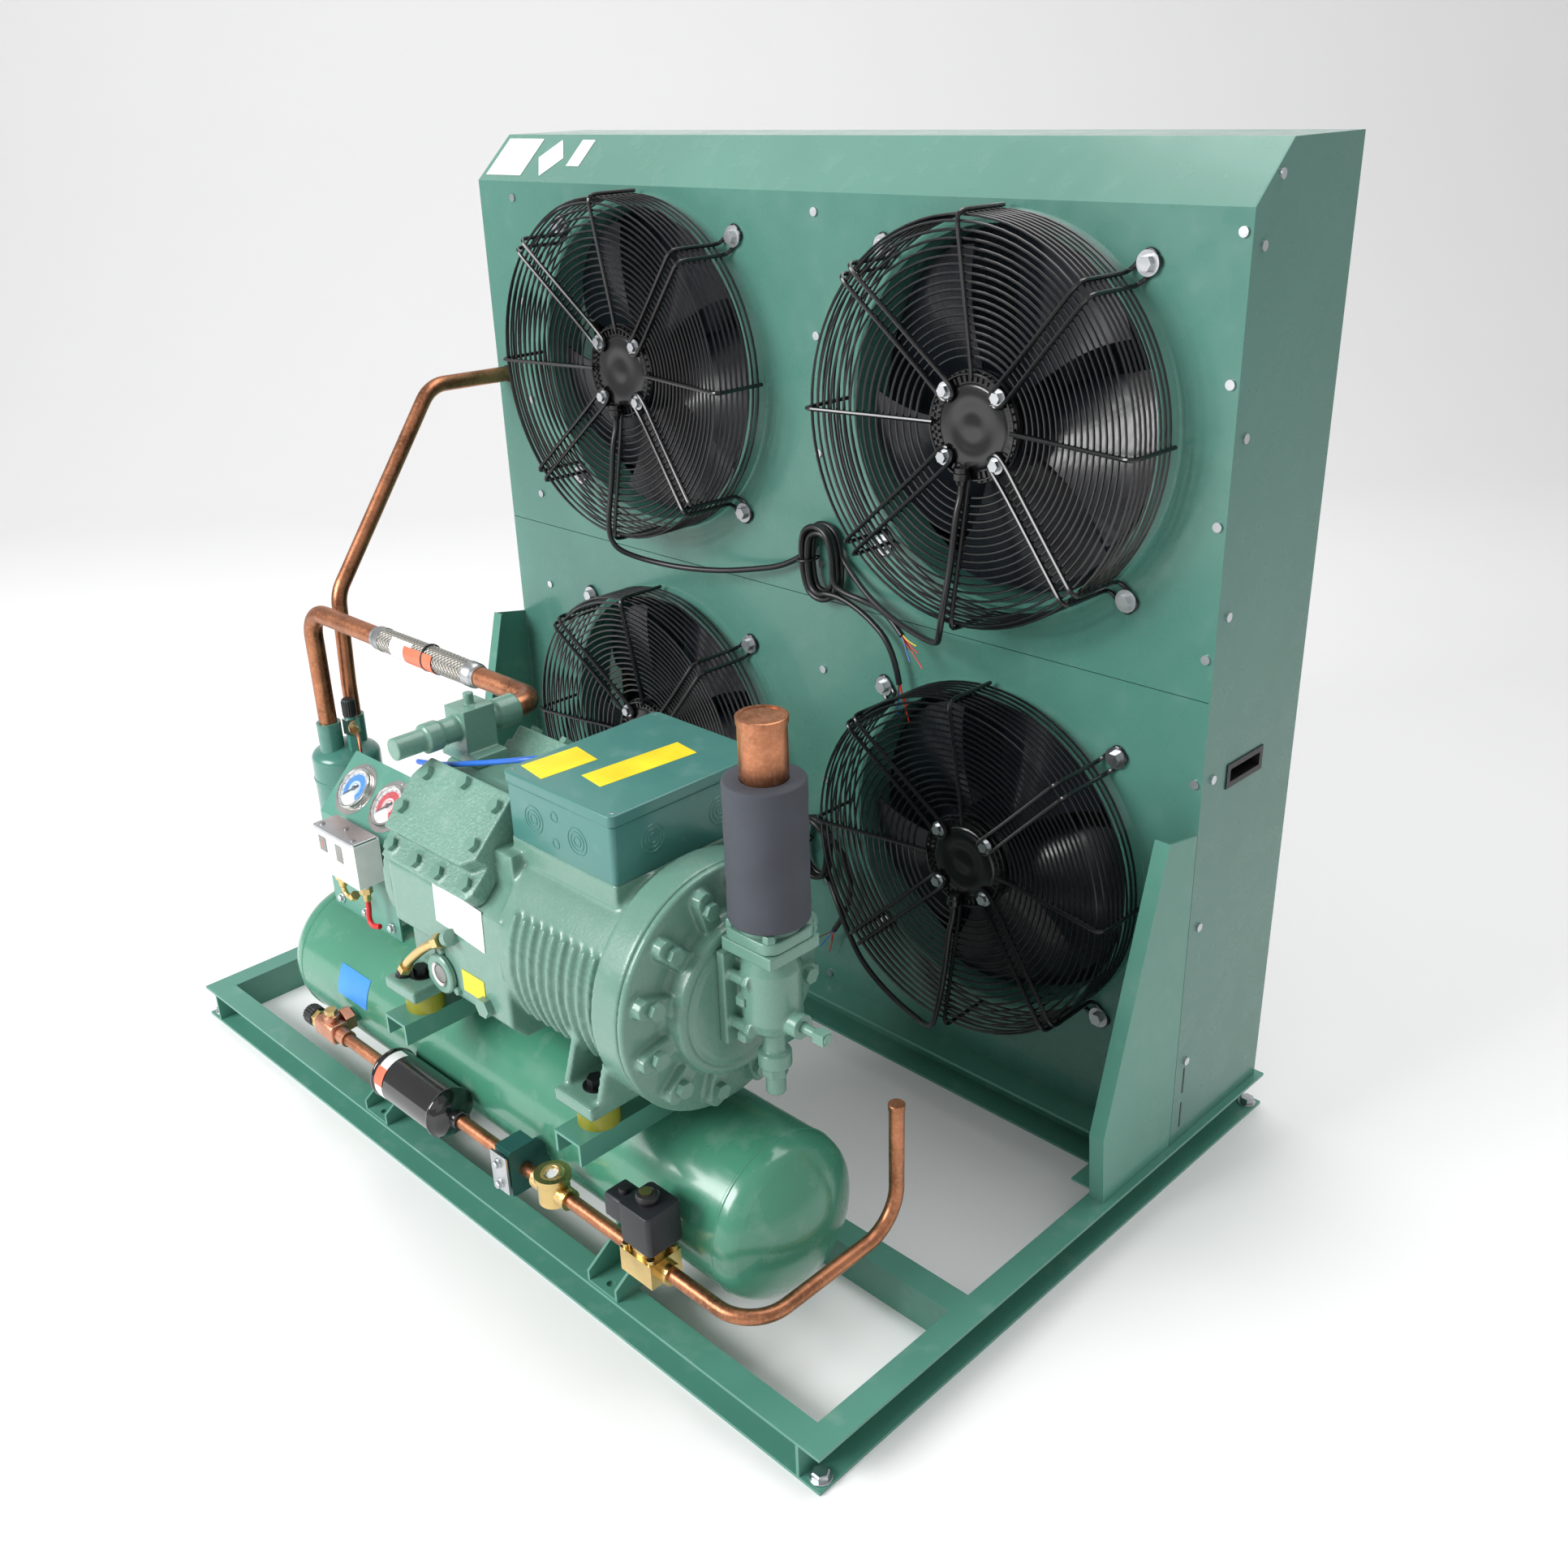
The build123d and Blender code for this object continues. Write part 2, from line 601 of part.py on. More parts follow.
with BuildPart() as compressor_housing:
    add(prism(side_plane.offset(case_left), crankcase_outline, case_right - case_left))
    add(rod(side_plane.offset(cover_seat), axis_point, cover_radius - 4, case_left - cover_seat))
    add(rod(side_plane.offset(case_right - 5), axis_point, motor_radius, flange_left - case_right + 10))
    add(rod(side_plane.offset(flange_left), axis_point, flange_radius, flange_right - flange_left))
    add(block((box_low[0], box_low[1], crank_z), (box_high[0], box_high[1], box_low[2])))
    for x in stand_x:
        for y in stand_y:
            add(stand_foot(x, y))
    for rib in range(9):
        rib_plane = side_plane.offset(213 + 18.6 * rib)
        for rib_y in (machine_y - case_width - 12, machine_y + 60):
            add(motor_rib(rib_plane, rib_y))
    # oil sump, crank chamber, cylinder bores, motor chamber and the shaft's bearing
    add(rod(side_plane.offset(cover_seat - 1), axis_point, 80, 245), mode=Mode.SUBTRACT)
    add(block((case_left, machine_y - 80, 366), (170, machine_y + 80, crank_z)), mode=Mode.SUBTRACT)
    add(rod(front_bank.offset(60), [(x, 0) for x in bore_x], bore_radius, 100), mode=Mode.SUBTRACT)
    add(rod(rear_bank.offset(60), [(-x, 0) for x in bore_x], bore_radius, 100), mode=Mode.SUBTRACT)
    add(rod(side_plane.offset(208), axis_point, motor_bore, 300), mode=Mode.SUBTRACT)
    add(rod(side_plane.offset(160), axis_point, bearing_radius, 60), mode=Mode.SUBTRACT)
    add(block(box_low, (box_high[0], box_high[1], box_low[2] + 50)), mode=Mode.SUBTRACT)
    for low_y, high_y in ((-520, -448), (-218, -140)):
        add(block((case_left - 2, low_y, stand_z + foot_thickness), (24, high_y, 436)), mode=Mode.SUBTRACT)
    add(block((220, machine_y - 20, 590), (300, machine_y + 20, 620)), mode=Mode.SUBTRACT)
    add(rod(base_plane.offset(stand_z - 5), [(x, y) for x in stand_x for y in stand_y], 6, 40),
        mode=Mode.SUBTRACT)
finish(compressor_housing.part, "compressor_housing")

with BuildPart() as crankcase_cover:
    add(rod(side_plane.offset(cover_left + 6), axis_point, cover_radius, cover_seat - cover_left - 6))
    add(rod(side_plane.offset(cover_left), axis_point, 78, 6))
    add(rod(side_plane.offset(cover_seat - 22), axis_point, bearing_radius, 30), mode=Mode.SUBTRACT)
finish(crankcase_cover.part, "crankcase_cover")

cover_bolts = around(126, [15 + 30 * k for k in range(12)])
cover_plane = Plane(origin=(0, machine_y, crank_z), x_dir=(0, 1, 0), z_dir=(1, 0, 0))
boss_face = 455.0
with BuildPart() as motor_end_cover:
    cover_profile = [(0, flange_right), (flange_radius, flange_right), (flange_radius, 438), (150, 441),
                     (112, 452), (98, 462), (97, 470), (93, 473), (0, 473)]
    add(turned(cover_plane, cover_profile))
    add(rod(cover_plane.offset(flange_right), cover_bolts, 13, boss_face - flange_right))
    add(rod(cover_plane.offset(flange_right - 1), [(0, 0)], 96, 30), mode=Mode.SUBTRACT)
    add(rod(cover_plane.offset(flange_right), [(0, 0)], 20, 60), mode=Mode.SUBTRACT)
finish(motor_end_cover.part, "motor_end_cover")

head_left = -45.0
head_right = 150.0
head_base = bank_distance + 26
head_top = bank_distance + 50
head_outline = [(head_left, -60), (head_right - 8, -60), (head_right, -50), (head_right, 80),
                (head_left + 12, 80), (head_left, 68)]
crown_outline = [(head_left + 6, -26), (head_right - 22, -26), (head_right, -10), (head_right, 80),
                 (head_left + 18, 80), (head_left + 2, 50)]


def cylinder_head(bank, mirror_x):
    """Stepped head: a bolted flange with a raised crown over two cylinders."""
    outline = [(mirror_x * x, y) for x, y in head_outline]
    crown = [(mirror_x * x, y) for x, y in crown_outline]
    with BuildPart() as head:
        add(prism(bank.offset(bank_distance), outline, head_base - bank_distance))
        add(prism(bank.offset(head_base), crown, head_top - head_base))
        add(prism(bank.offset(bank_distance), [(mirror_x * x, y) for x, y in
                                               [(-20, -24), (128, -24), (128, 60), (-20, 60)]], 40),
            mode=Mode.SUBTRACT)
    return head.part


with BuildPart() as cylinder_heads:
    add(cylinder_head(front_bank, 1))
    add(cylinder_head(rear_bank, -1))
finish(cylinder_heads.part, "cylinder_heads")

piston_low = 84.0
piston_height = 40.0
with BuildPart() as pistons:
    for bank, sign in ((front_bank, 1), (rear_bank, -1)):
        points = [(sign * x, 0) for x in bore_x]
        add(rod(bank.offset(piston_low), points, bore_radius - 0.05, piston_height))
        add(rod(bank.offset(piston_low - 1), points, 22, 25), mode=Mode.SUBTRACT)
finish(pistons.part, "pistons")

throw = 20.0
with BuildPart() as crankshaft:
    add(rod(side_plane.offset(cover_left + 10), axis_point, shaft_radius, 500))
    for k, x in enumerate(bore_x):
        pin_z = crank_z + (throw if k == 0 else -throw)
        add(rod(side_plane.offset(x - 26), [(machine_y, (crank_z + pin_z) / 2)], 40, 12))
        add(rod(side_plane.offset(x + 14), [(machine_y, (crank_z + pin_z) / 2)], 40, 12))
        add(rod(side_plane.offset(x - 14), [(machine_y, pin_z)], 20, 28))
finish(crankshaft.part, "crankshaft")

rotor_left = 240.0
rotor_length = 140.0
with BuildPart() as motor_rotor:
    with BuildSketch(side_plane.offset(rotor_left)):
        with Locations(*axis_point):
            Circle(72)
            Circle(shaft_radius + 0.02, mode=Mode.SUBTRACT)
    extrude(amount=rotor_length)
finish(motor_rotor.part, "motor_rotor")

with BuildPart() as motor_stator:
    stator_rings = ((rotor_left - 22, rotor_length + 44, 108), (rotor_left, rotor_length, 124.7))
    for left, length, outer in stator_rings:
        with BuildSketch(side_plane.offset(left)):
            with Locations(*axis_point):
                Circle(outer)
                Circle(73, mode=Mode.SUBTRACT)
        extrude(amount=length)
finish(motor_stator.part, "motor_stator")

head_bolts = [(head_left + 12, -42), (25, -46), (75, -46), (head_right - 18, -42)]
crown_bolts = [(head_left + 20, 6), (head_left + 30, 58), (head_right - 16, 4), (60, 68),
               (head_right - 16, 58)]
with BuildPart() as compressor_bolts:
    add(hex_rod(cover_plane.offset(boss_face), cover_bolts, 19, 9))
    for bank, sign in ((front_bank, 1), (rear_bank, -1)):
        add(hex_rod(bank.offset(head_base), [(sign * x, y) for x, y in head_bolts], 17, 8))
        add(hex_rod(bank.offset(head_top), [(sign * x, y) for x, y in crown_bolts], 17, 8))
    add(hex_rod(side_plane.offset(cover_left - 2), [(machine_y + a, crank_z + b) for a, b in
                                                    around(105, [30 * k for k in range(12)])], 15, 8))
    add(hex_rod(front_plane.offset(case_width - machine_y), [(140, 385)], 24, 10))
finish(compressor_bolts.part, "compressor_bolts")

stand_points = [(x, y) for x in stand_x for y in stand_y]
foot_top = stand_z + foot_thickness
with BuildPart() as stand_bolts:
    add(rod(base_plane.offset(foot_top), stand_points, 16, 2))
    add(hex_rod(base_plane.offset(foot_top + 2), stand_points, 18, 11))
    add(rod(base_plane.offset(bracket_top - 18), stand_points, 5.5, foot_top + 2 - bracket_top + 18))
    add(rod(base_plane.offset(bracket_top - 6), stand_points, 10, 2))
finish(stand_bolts.part, "stand_bolts")

with BuildPart() as terminal_box:
    add(block(box_low, box_high))
    add(block((box_low[0] + box_wall, box_low[1] + box_wall, box_low[2] + box_wall),
              (box_high[0] - box_wall, box_high[1] - box_wall, lid_top)), mode=Mode.SUBTRACT)
    add(block((225, -370, box_low[2] + 4), (305, -296, box_low[2] + 16)))
    add(rod(base_plane.offset(box_low[2] + 16), [(240 + 25 * i, -352 + 38 * j) for i in range(3)
                                                 for j in range(2)], 4, 22))
finish(terminal_box.part, "terminal_box")

with BuildPart() as terminal_box_lid:
    add(block((box_low[0] - 2, box_low[1] - 2, box_high[2]), (box_high[0] + 2, box_high[1] + 2, lid_top)))
    fillet(terminal_box_lid.edges().filter_by(Axis.Z), 8)
    add(block((box_low[0] + box_wall, box_low[1] + box_wall, box_high[2] - 1),
              (box_high[0] - box_wall, box_high[1] - box_wall, lid_top - box_wall)), mode=Mode.SUBTRACT)
finish(terminal_box_lid.part, "terminal_box_lid")

glass_plane = Plane(origin=(47, machine_y - case_width, 397), x_dir=(1, 0, 0), z_dir=(0, -1, 0))
with BuildPart() as oil_sight_glass:
    add(turned(glass_plane, [(0, 0), (28, 0), (28, 8), (22, 11), (18, 11), (18, 7), (0, 7)]))
finish(oil_sight_glass.part, "oil_sight_glass")

# ---------------------------------------------------------------- suction side
suction_point = [(suction_x, machine_y)]
suction_axis = Plane(origin=(suction_x, machine_y, 0), x_dir=(1, 0, 0), z_dir=(0, 0, 1))
flange_z = 561.0
flange_half = 39.0
spindle_z = crank_z
gland_bore = 6.03
with BuildPart() as suction_valve:
    add(block((473, machine_y - 42, 436), (485, machine_y + 42, 556)))
    add(block((485, machine_y - 22, 460), (suction_x, machine_y + 22, 545)))
    body_profile = [(0, 368), (12, 368), (12, 404), (20, 406), (20, 424), (14, 428), (14, 450), (30, 462),
                    (35, 476), (35, 540), (27, flange_z), (0, flange_z)]
    add(turned(suction_axis, body_profile))
    add(block((suction_x - flange_half, machine_y - flange_half, flange_z),
              (suction_x + flange_half, machine_y + flange_half, flange_z + 16)))
    add(rod(side_plane.offset(suction_x), [(machine_y, spindle_z)], 15, 48))
    add(rod(side_plane.offset(suction_x + 20), [(machine_y, spindle_z)], gland_bore, 40),
        mode=Mode.SUBTRACT)
    for bolt_z in (466, 528):
        for bolt_y in (machine_y - 32, machine_y + 32):
            add(rod(side_plane.offset(485), [(bolt_y, bolt_z)], 7, 26))
            add(hex_rod(side_plane.offset(511), [(bolt_y, bolt_z)], 17, 9))
finish(suction_valve.part, "suction_valve")

with BuildPart() as suction_valve_spindle:
    add(rod(side_plane.offset(suction_x + 24), [(machine_y, spindle_z)], gland_bore - 0.06, 62))
    with BuildSketch(side_plane.offset(suction_x + 68)):
        with Locations((machine_y, spindle_z)):
            Rectangle(14, 14)
    extrude(amount=16)
finish(suction_valve_spindle.part, "suction_valve_spindle")

stub_radius = 27.0
pipe_radius = 26.6
stub_low = 772.0
stub_top = 842.0
joint_z = flange_z + 16.5
with BuildPart() as suction_pipe:
    add(block((suction_x - flange_half, machine_y - flange_half, joint_z),
              (suction_x + flange_half, machine_y + flange_half, joint_z + 15)))
    add(rod(base_plane.offset(joint_z), suction_point, pipe_radius, stub_top - joint_z))
    add(rod(base_plane.offset(stub_low), suction_point, stub_radius, stub_top - stub_low))
    add(rod(base_plane.offset(joint_z), suction_point, stub_radius - 1.5, stub_top - joint_z - 3),
        mode=Mode.SUBTRACT)
    corner_offsets = [(i * 29, j * 29) for i in (-1, 1) for j in (-1, 1)]
    corners = [(suction_x + i, machine_y + j) for i, j in corner_offsets]
    add(hex_rod(base_plane.offset(joint_z + 15), corners, 14, 8))
finish(suction_pipe.part, "suction_pipe")

insulation_low = joint_z + 23.5
with BuildPart() as pipe_insulation:
    with BuildSketch(base_plane.offset(insulation_low)):
        with Locations(*suction_point):
            Circle(47)
            Circle(pipe_radius + 0.1, mode=Mode.SUBTRACT)
    extrude(amount=stub_low - 2 - insulation_low)
finish(pipe_insulation.part, "pipe_insulation")

# ---------------------------------------------------------------- discharge side
discharge_z = 683.0
discharge_end = -264.0
discharge_run = -226.0
discharge_radius = 15.0
discharge_axis = Plane(origin=(discharge_x, 0, discharge_z), x_dir=(1, 0, 0), z_dir=(0, -1, 0))
with BuildPart() as discharge_valve:
    add(block((discharge_x - 42, machine_y - crown_half + 1, crown_z),
              (discharge_x + 42, machine_y + crown_half - 1, crown_z + 16)))
    add(block((discharge_x - 22, machine_y - 24, crown_z + 16), (discharge_x + 22, machine_y + 24, 710)))
    valve_profile = [(0, -discharge_end), (21, -discharge_end), (21, 296), (17, 300), (17, 382), (20, 386),
                     (20, 406), (15, 410), (15, 452), (0, 452)]
    add(turned(discharge_axis, valve_profile))
    add(rod(front_plane.offset(-discharge_end - 1), [(discharge_x, discharge_z)], discharge_radius, 30),
        mode=Mode.SUBTRACT)
    add(rod(base_plane.offset(706), [(discharge_x, machine_y)], 7, 20))
finish(discharge_valve.part, "discharge_valve")

absorber_right = -165.0
absorber_left = -435.0
separator_inlet = (separator_x, discharge_run)
separator_outlet = (separator_x, -178.0)
port_top = 487.0
discharge_bend = [(discharge_x, discharge_end - 28, discharge_z), (discharge_x, discharge_run, discharge_z),
                  (absorber_right, discharge_run, discharge_z)]
inlet_drop = [(absorber_left, discharge_run, discharge_z), (separator_x, discharge_run, discharge_z),
              (separator_x, discharge_run, port_top - 22)]
hot_gas_run = [(separator_x, separator_outlet[1], port_top - 22),
               (separator_x, separator_outlet[1], 540), (-650, -166, 693),
               (hot_gas_x, 82, 988), (hot_gas_x, 300, hot_gas_z - 1)]
discharge_pipe = pipe(discharge_bend, [30], discharge_radius - 0.02, discharge_radius - 1.5)
drop_pipe = pipe(inlet_drop, [46], discharge_radius, discharge_radius - 1.5)
hot_gas_pipe = pipe(hot_gas_run, [60, 60, 60], 12.7, 11.2)
finish(Compound(children=[discharge_pipe, drop_pipe, hot_gas_pipe]), "discharge_pipes")

absorber_plane = Plane(origin=(absorber_left, discharge_run, discharge_z), x_dir=(0, 1, 0), z_dir=(1, 0, 0))
absorber_length = absorber_right - absorber_left
with BuildPart() as vibration_absorber:
    braid_profile = [(15.5, 0), (17.5, 0), (17.5, 22), (19, 24), (19, absorber_length - 24),
                     (17.5, absorber_length - 22), (17.5, absorber_length), (15.5, absorber_length)]
    add(turned(absorber_plane, braid_profile))
    ferrule = [(13, 0), (15.5, 0), (15.5, absorber_length), (13, absorber_length)]
    add(turned(absorber_plane, ferrule))
finish(vibration_absorber.part, "vibration_absorber")

separator_radius = 57.0
separator_plane = Plane(origin=(separator_x, separator_y, 110), x_dir=(1, 0, 0), z_dir=(0, 0, 1))
with BuildPart() as oil_separator:
    add(capsule(separator_plane, 310, separator_radius, 26))
    add(rod(base_plane.offset(400), [separator_inlet], 20, port_top - 400))
    add(rod(base_plane.offset(400), [separator_outlet], 17, port_top - 400))
    add(rod(base_plane.offset(rail_height), [(separator_x, separator_y)], 12, 40))
    add(block((separator_x - 35, -214, rail_height), (separator_x + 35, -179, rail_height + 5)))
    add(capsule(separator_plane.offset(3), 304, separator_radius - 3, 23), mode=Mode.SUBTRACT)
    add(rod(base_plane.offset(port_top - 22), [separator_inlet], discharge_radius, 40), mode=Mode.SUBTRACT)
    add(rod(base_plane.offset(port_top - 22), [separator_outlet], 12.72, 40), mode=Mode.SUBTRACT)
    add(hex_rod(base_plane.offset(425), [(separator_x + 34, separator_y)], 18, 62))
    add(rod(base_plane.offset(487), [(separator_x + 34, separator_y)], 10, 42))
finish(oil_separator.part, "oil_separator")

# ---------------------------------------------------------------- liquid line
liquid_point = [(liquid_y, liquid_z)]
liquid_radius = 9.5
stub_y = -448.0
valve_right = -256.0
with BuildPart() as receiver_valve:
    add(rod(front_plane.offset(-stub_y), [(valve_x, liquid_z + 8)], 13, 28))
    add(rod(side_plane.offset(valve_x - 25), liquid_point, 18, valve_right - valve_x + 25))
    add(rod(side_plane.offset(valve_x - 67), liquid_point, 13, 42))
    add(rod(base_plane.offset(liquid_z), [(valve_x, liquid_y)], 11, 26))
    add(hex_rod(base_plane.offset(liquid_z + 22), [(valve_x, liquid_y)], 20, 12))
finish(receiver_valve.part, "receiver_valve")

drier_left = -148.0
drier_right = 52.0
drier_radius = 36.0
drier_length = drier_right - drier_left
drier_plane = Plane(origin=(drier_left, liquid_y, liquid_z), x_dir=(0, 1, 0), z_dir=(1, 0, 0))
with BuildPart() as filter_drier:
    drier_profile = [(0, 0), (13, 0), (13, 14), (28, 20), (drier_radius, 28), (drier_radius + 2, 31),
                     (drier_radius, 34), (drier_radius, drier_length - 34),
                     (drier_radius + 2, drier_length - 31), (drier_radius, drier_length - 28),
                     (28, drier_length - 20), (13, drier_length - 14), (13, drier_length), (0, drier_length)]
    add(turned(drier_plane, drier_profile))
finish(filter_drier.part, "filter_drier")

window_left = 222.0
window_right = 290.0
window_middle = (window_left + window_right) / 2
with BuildPart() as liquid_sight_glass:
    add(rod(side_plane.offset(window_left), liquid_point, 14, window_right - window_left))
    add(rod(base_plane.offset(liquid_z - 16), [(window_middle, liquid_y)], 21, 34))
    add(rod(base_plane.offset(liquid_z + 18), [(window_middle, liquid_y)], 24, 8))
    add(rod(base_plane.offset(liquid_z + 22), [(window_middle, liquid_y)], 16, 8), mode=Mode.SUBTRACT)
finish(liquid_sight_glass.part, "liquid_sight_glass")

solenoid_left = 405.0
solenoid_right = 485.0
stem_x = 445.0
with BuildPart() as solenoid_valve:
    add(block((solenoid_left + 12, liquid_y - 24, 150), (solenoid_right - 12, liquid_y + 24, 184)))
    add(rod(side_plane.offset(solenoid_left), liquid_point, 14, solenoid_right - solenoid_left))
    add(rod(base_plane.offset(184), [(stem_x, liquid_y)], 21, 10))
    add(rod(base_plane.offset(194), [(stem_x, liquid_y)], 8, 74))
    add(rod(base_plane.offset(184), [(stem_x + i * 22, liquid_y + j * 18) for i in (-1, 1) for j in (-1, 1)],
            5, 6))
finish(solenoid_valve.part, "solenoid_valve")

coil_low = 200.0
coil_high = 262.0
with BuildPart() as solenoid_coil:
    add(block((412, liquid_y - 33, coil_low), (478, liquid_y + 30, coil_high)))
    fillet(solenoid_coil.edges().filter_by(Axis.Z), 9)
    add(block((385, liquid_y - 24, coil_low + 10), (413, liquid_y + 18, coil_high - 10)))
    add(rod(base_plane.offset(coil_low - 1), [(stem_x, liquid_y)], 8.2, 80), mode=Mode.SUBTRACT)
finish(solenoid_coil.part, "solenoid_coil")

riser_x = 617.0
riser_y = -232.0
riser_top = 342.0
liquid_runs = [(valve_right, drier_left), (drier_right, window_left), (window_right, solenoid_left)]
liquid_solids = [pipe([(low, liquid_y, liquid_z), (high, liquid_y, liquid_z)], [], liquid_radius, 8.3)
                 for low, high in liquid_runs]
riser_route = [(solenoid_right, liquid_y, liquid_z), (riser_x, liquid_y, liquid_z),
               (riser_x, riser_y, liquid_z), (riser_x, riser_y, riser_top)]
with BuildPart() as liquid_riser:
    add(pipe(riser_route, [55, 55], liquid_radius, 8.3))
    add(rod(base_plane.offset(riser_top - 2), [(riser_x, riser_y)], liquid_radius, 2))
finish(Compound(children=liquid_solids + [liquid_riser.part]), "liquid_pipes")

clamp_x = 180.0
with BuildPart() as pipe_clamp:
    add(block((clamp_x - 15, -500, 130), (clamp_x + 15, -462, 200)))
    add(block((clamp_x - 15, -503, 132), (clamp_x + 15, -500, 198)))
    add(block((clamp_x - 10, -462, 140), (clamp_x + 10, machine_y - 100, 180)))
    for bolt_z in (144, 186):
        add(hex_rod(front_plane.offset(503), [(clamp_x, bolt_z)], 10, 5))
    add(rod(side_plane.offset(clamp_x - 20), liquid_point, liquid_radius + 0.05, 40), mode=Mode.SUBTRACT)
    add(rod(side_plane.offset(clamp_x - 20), [(machine_y, tank_z)], tank_radius + 0.05, 40),
        mode=Mode.SUBTRACT)
finish(pipe_clamp.part, "pipe_clamp")

# ---------------------------------------------------------------- gauges and pressure control
panel_left = -424.0
panel_right = -235.0
panel_face = -372.0
panel_low = 284.0
gauge_x = (-373.0, -280.0)
gauge_y = -334.5
gauge_z = gauge_y + 817.0
panel_outline = [(panel_face, panel_low), (panel_face + 3, panel_low), (panel_face + 3, 443.8),
                 (-294.9, 517.9), (-297, 520), (panel_face, 445)]
gauge_planes = [Plane(origin=(x, gauge_y, gauge_z), x_dir=(1, 0, 0), z_dir=(0, -slant, slant))
                for x in gauge_x]
with BuildPart() as gauge_panel:
    add(prism(side_plane.offset(panel_left), panel_outline, panel_right - panel_left))
    for tab_x in (panel_left + 20, panel_right - 40):
        add(block((tab_x, panel_face + 3, panel_low), (tab_x + 20, panel_face + 40, 300)))
    add(rod(side_plane.offset(panel_left - 5), [(machine_y, tank_z)], tank_radius + 0.05, 220),
        mode=Mode.SUBTRACT)
    for gauge_plane in gauge_planes:
        add(rod(gauge_plane.offset(-10), [(0, 0)], 28.3, 20), mode=Mode.SUBTRACT)
finish(gauge_panel.part, "gauge_panel")

bezel_radius = 33.0
dial_level = 3.0
pin_radius = 1.5
gauge_profile = [(0, -28), (27.8, -28), (27.8, 0), (bezel_radius, 0), (bezel_radius, 8), (29.5, 8),
                 (29.5, dial_level), (0, dial_level)]
with BuildPart() as pressure_gauges:
    for gauge_plane in gauge_planes:
        add(turned(gauge_plane, gauge_profile))
        add(rod(gauge_plane.offset(-46), [(0, 0)], 6, 20))
        add(hex_rod(gauge_plane.offset(-42), [(0, 0)], 17, 12))
        add(rod(gauge_plane.offset(dial_level), [(0, 0)], pin_radius, 2.6))
finish(pressure_gauges.part, "pressure_gauges")

with BuildPart() as gauge_glasses:
    for gauge_plane in gauge_planes:
        add(rod(gauge_plane.offset(6.4), [(0, 0)], 29.5, 1.4))
finish(gauge_glasses.part, "gauge_glasses")

needle_turn = radians(135)
needle_shape = [(-2.2, -9), (2.2, -9), (1.6, 4), (0.35, 23), (-0.35, 23), (-1.6, 4)]
needle_outline = [(x * cos(needle_turn) - y * sin(needle_turn), x * sin(needle_turn) + y * cos(needle_turn))
                  for x, y in needle_shape]
for needle_name, gauge_plane in zip(("low", "high"), gauge_planes):
    with BuildPart() as gauge_needle:
        add(prism(gauge_plane.offset(4.2), needle_outline, 0.8))
        add(rod(gauge_plane.offset(4.2), [(0, 0)], 4, 1.2))
        add(rod(gauge_plane.offset(4), [(0, 0)], pin_radius + 0.05, 2), mode=Mode.SUBTRACT)
    finish(gauge_needle.part, f"gauge_needle_{needle_name}")

control_low = (-360.0, -420.0, 388.0)
control_high = (-246.0, -378.0, 460.0)
with BuildPart() as pressure_control:
    add(block(control_low, control_high))
    fillet(pressure_control.edges().filter_by(Axis.Y), 4)
    add(block((-330, control_high[1], 400), (-276, panel_face, 432)))
    add(rod(base_plane.offset(control_low[2] - 14), [(-337, -399), (-269, -399)], 8, 14))
    add(rod(base_plane.offset(control_low[2] - 24), [(-337, -399), (-269, -399)], 5, 12))
finish(pressure_control.part, "pressure_control")

# ---------------------------------------------------------------- fan cables
# each starts at its motor's gland, runs down in front of the guard, round its rim, and ends in a tied hank
upper_z = fan_rows[1]
lower_z = fan_rows[0]
left_x, right_x = fan_columns
upper_left_route = [
    (left_x + gland_x, gland_y, upper_z - gland_end),
    (left_x + gland_x, gland_y, upper_z - gland_end - 14),
    (left_x + gland_x, 158, upper_z - 106),
    (left_x - 9, 150, upper_z - 172),
    (left_x - 9, 136, upper_z - 230),
    (left_x - 3, 136, upper_z - 268),
    (-275, 162, 748),
    (-205, 190, 738),
    (-125, 206, 744),
    (-60, 216, 757),
    (0, 224, 772),
    (38, 226, 788),
]
upper_right_route = [
    (right_x + gland_x, gland_y, upper_z - gland_end),
    (right_x + gland_x, gland_y, upper_z - gland_end - 14),
    (right_x + gland_x, 158, upper_z - 106),
    (right_x - 9, 150, upper_z - 172),
    (right_x - 10, 136, upper_z - 230),
    (right_x - 16, 136, upper_z - 268),
    (350, 160, 744),
    (298, 188, 735),
    (240, 203, 741),
    (190, 212, 756),
    (150, 220, 778),
    (117, 226, 802),
]
upper_end_route = [(112, 228, 768), (160, 222, 752), (214, 212, 748), (250, 204, 722)]
upper_tail_route = [(104, 226, 754), (168, 221, 730), (222, 218, 694), (232, 219, 640)]
lower_right_route = [
    (right_x + gland_x, gland_y, lower_z - gland_end),
    (right_x + gland_x, gland_y, lower_z - gland_end - 14),
    (right_x + gland_x, 158, lower_z - 106),
    (right_x - 9, 150, lower_z - 172),
    (right_x - 10, 136, lower_z - 230),
    (right_x - 22, 138, lower_z - 270),
    (328, 160, 132),
    (250, 180, 134),
    (180, 192, 160),
    (135, 204, 200),
    (100, 216, 240),
    (74, 226, 272),
]
lower_tail_route = [(84, 228, 340), (124, 226, 306), (128, 224, 250), (110, 224, 206), (88, 224, 172)]


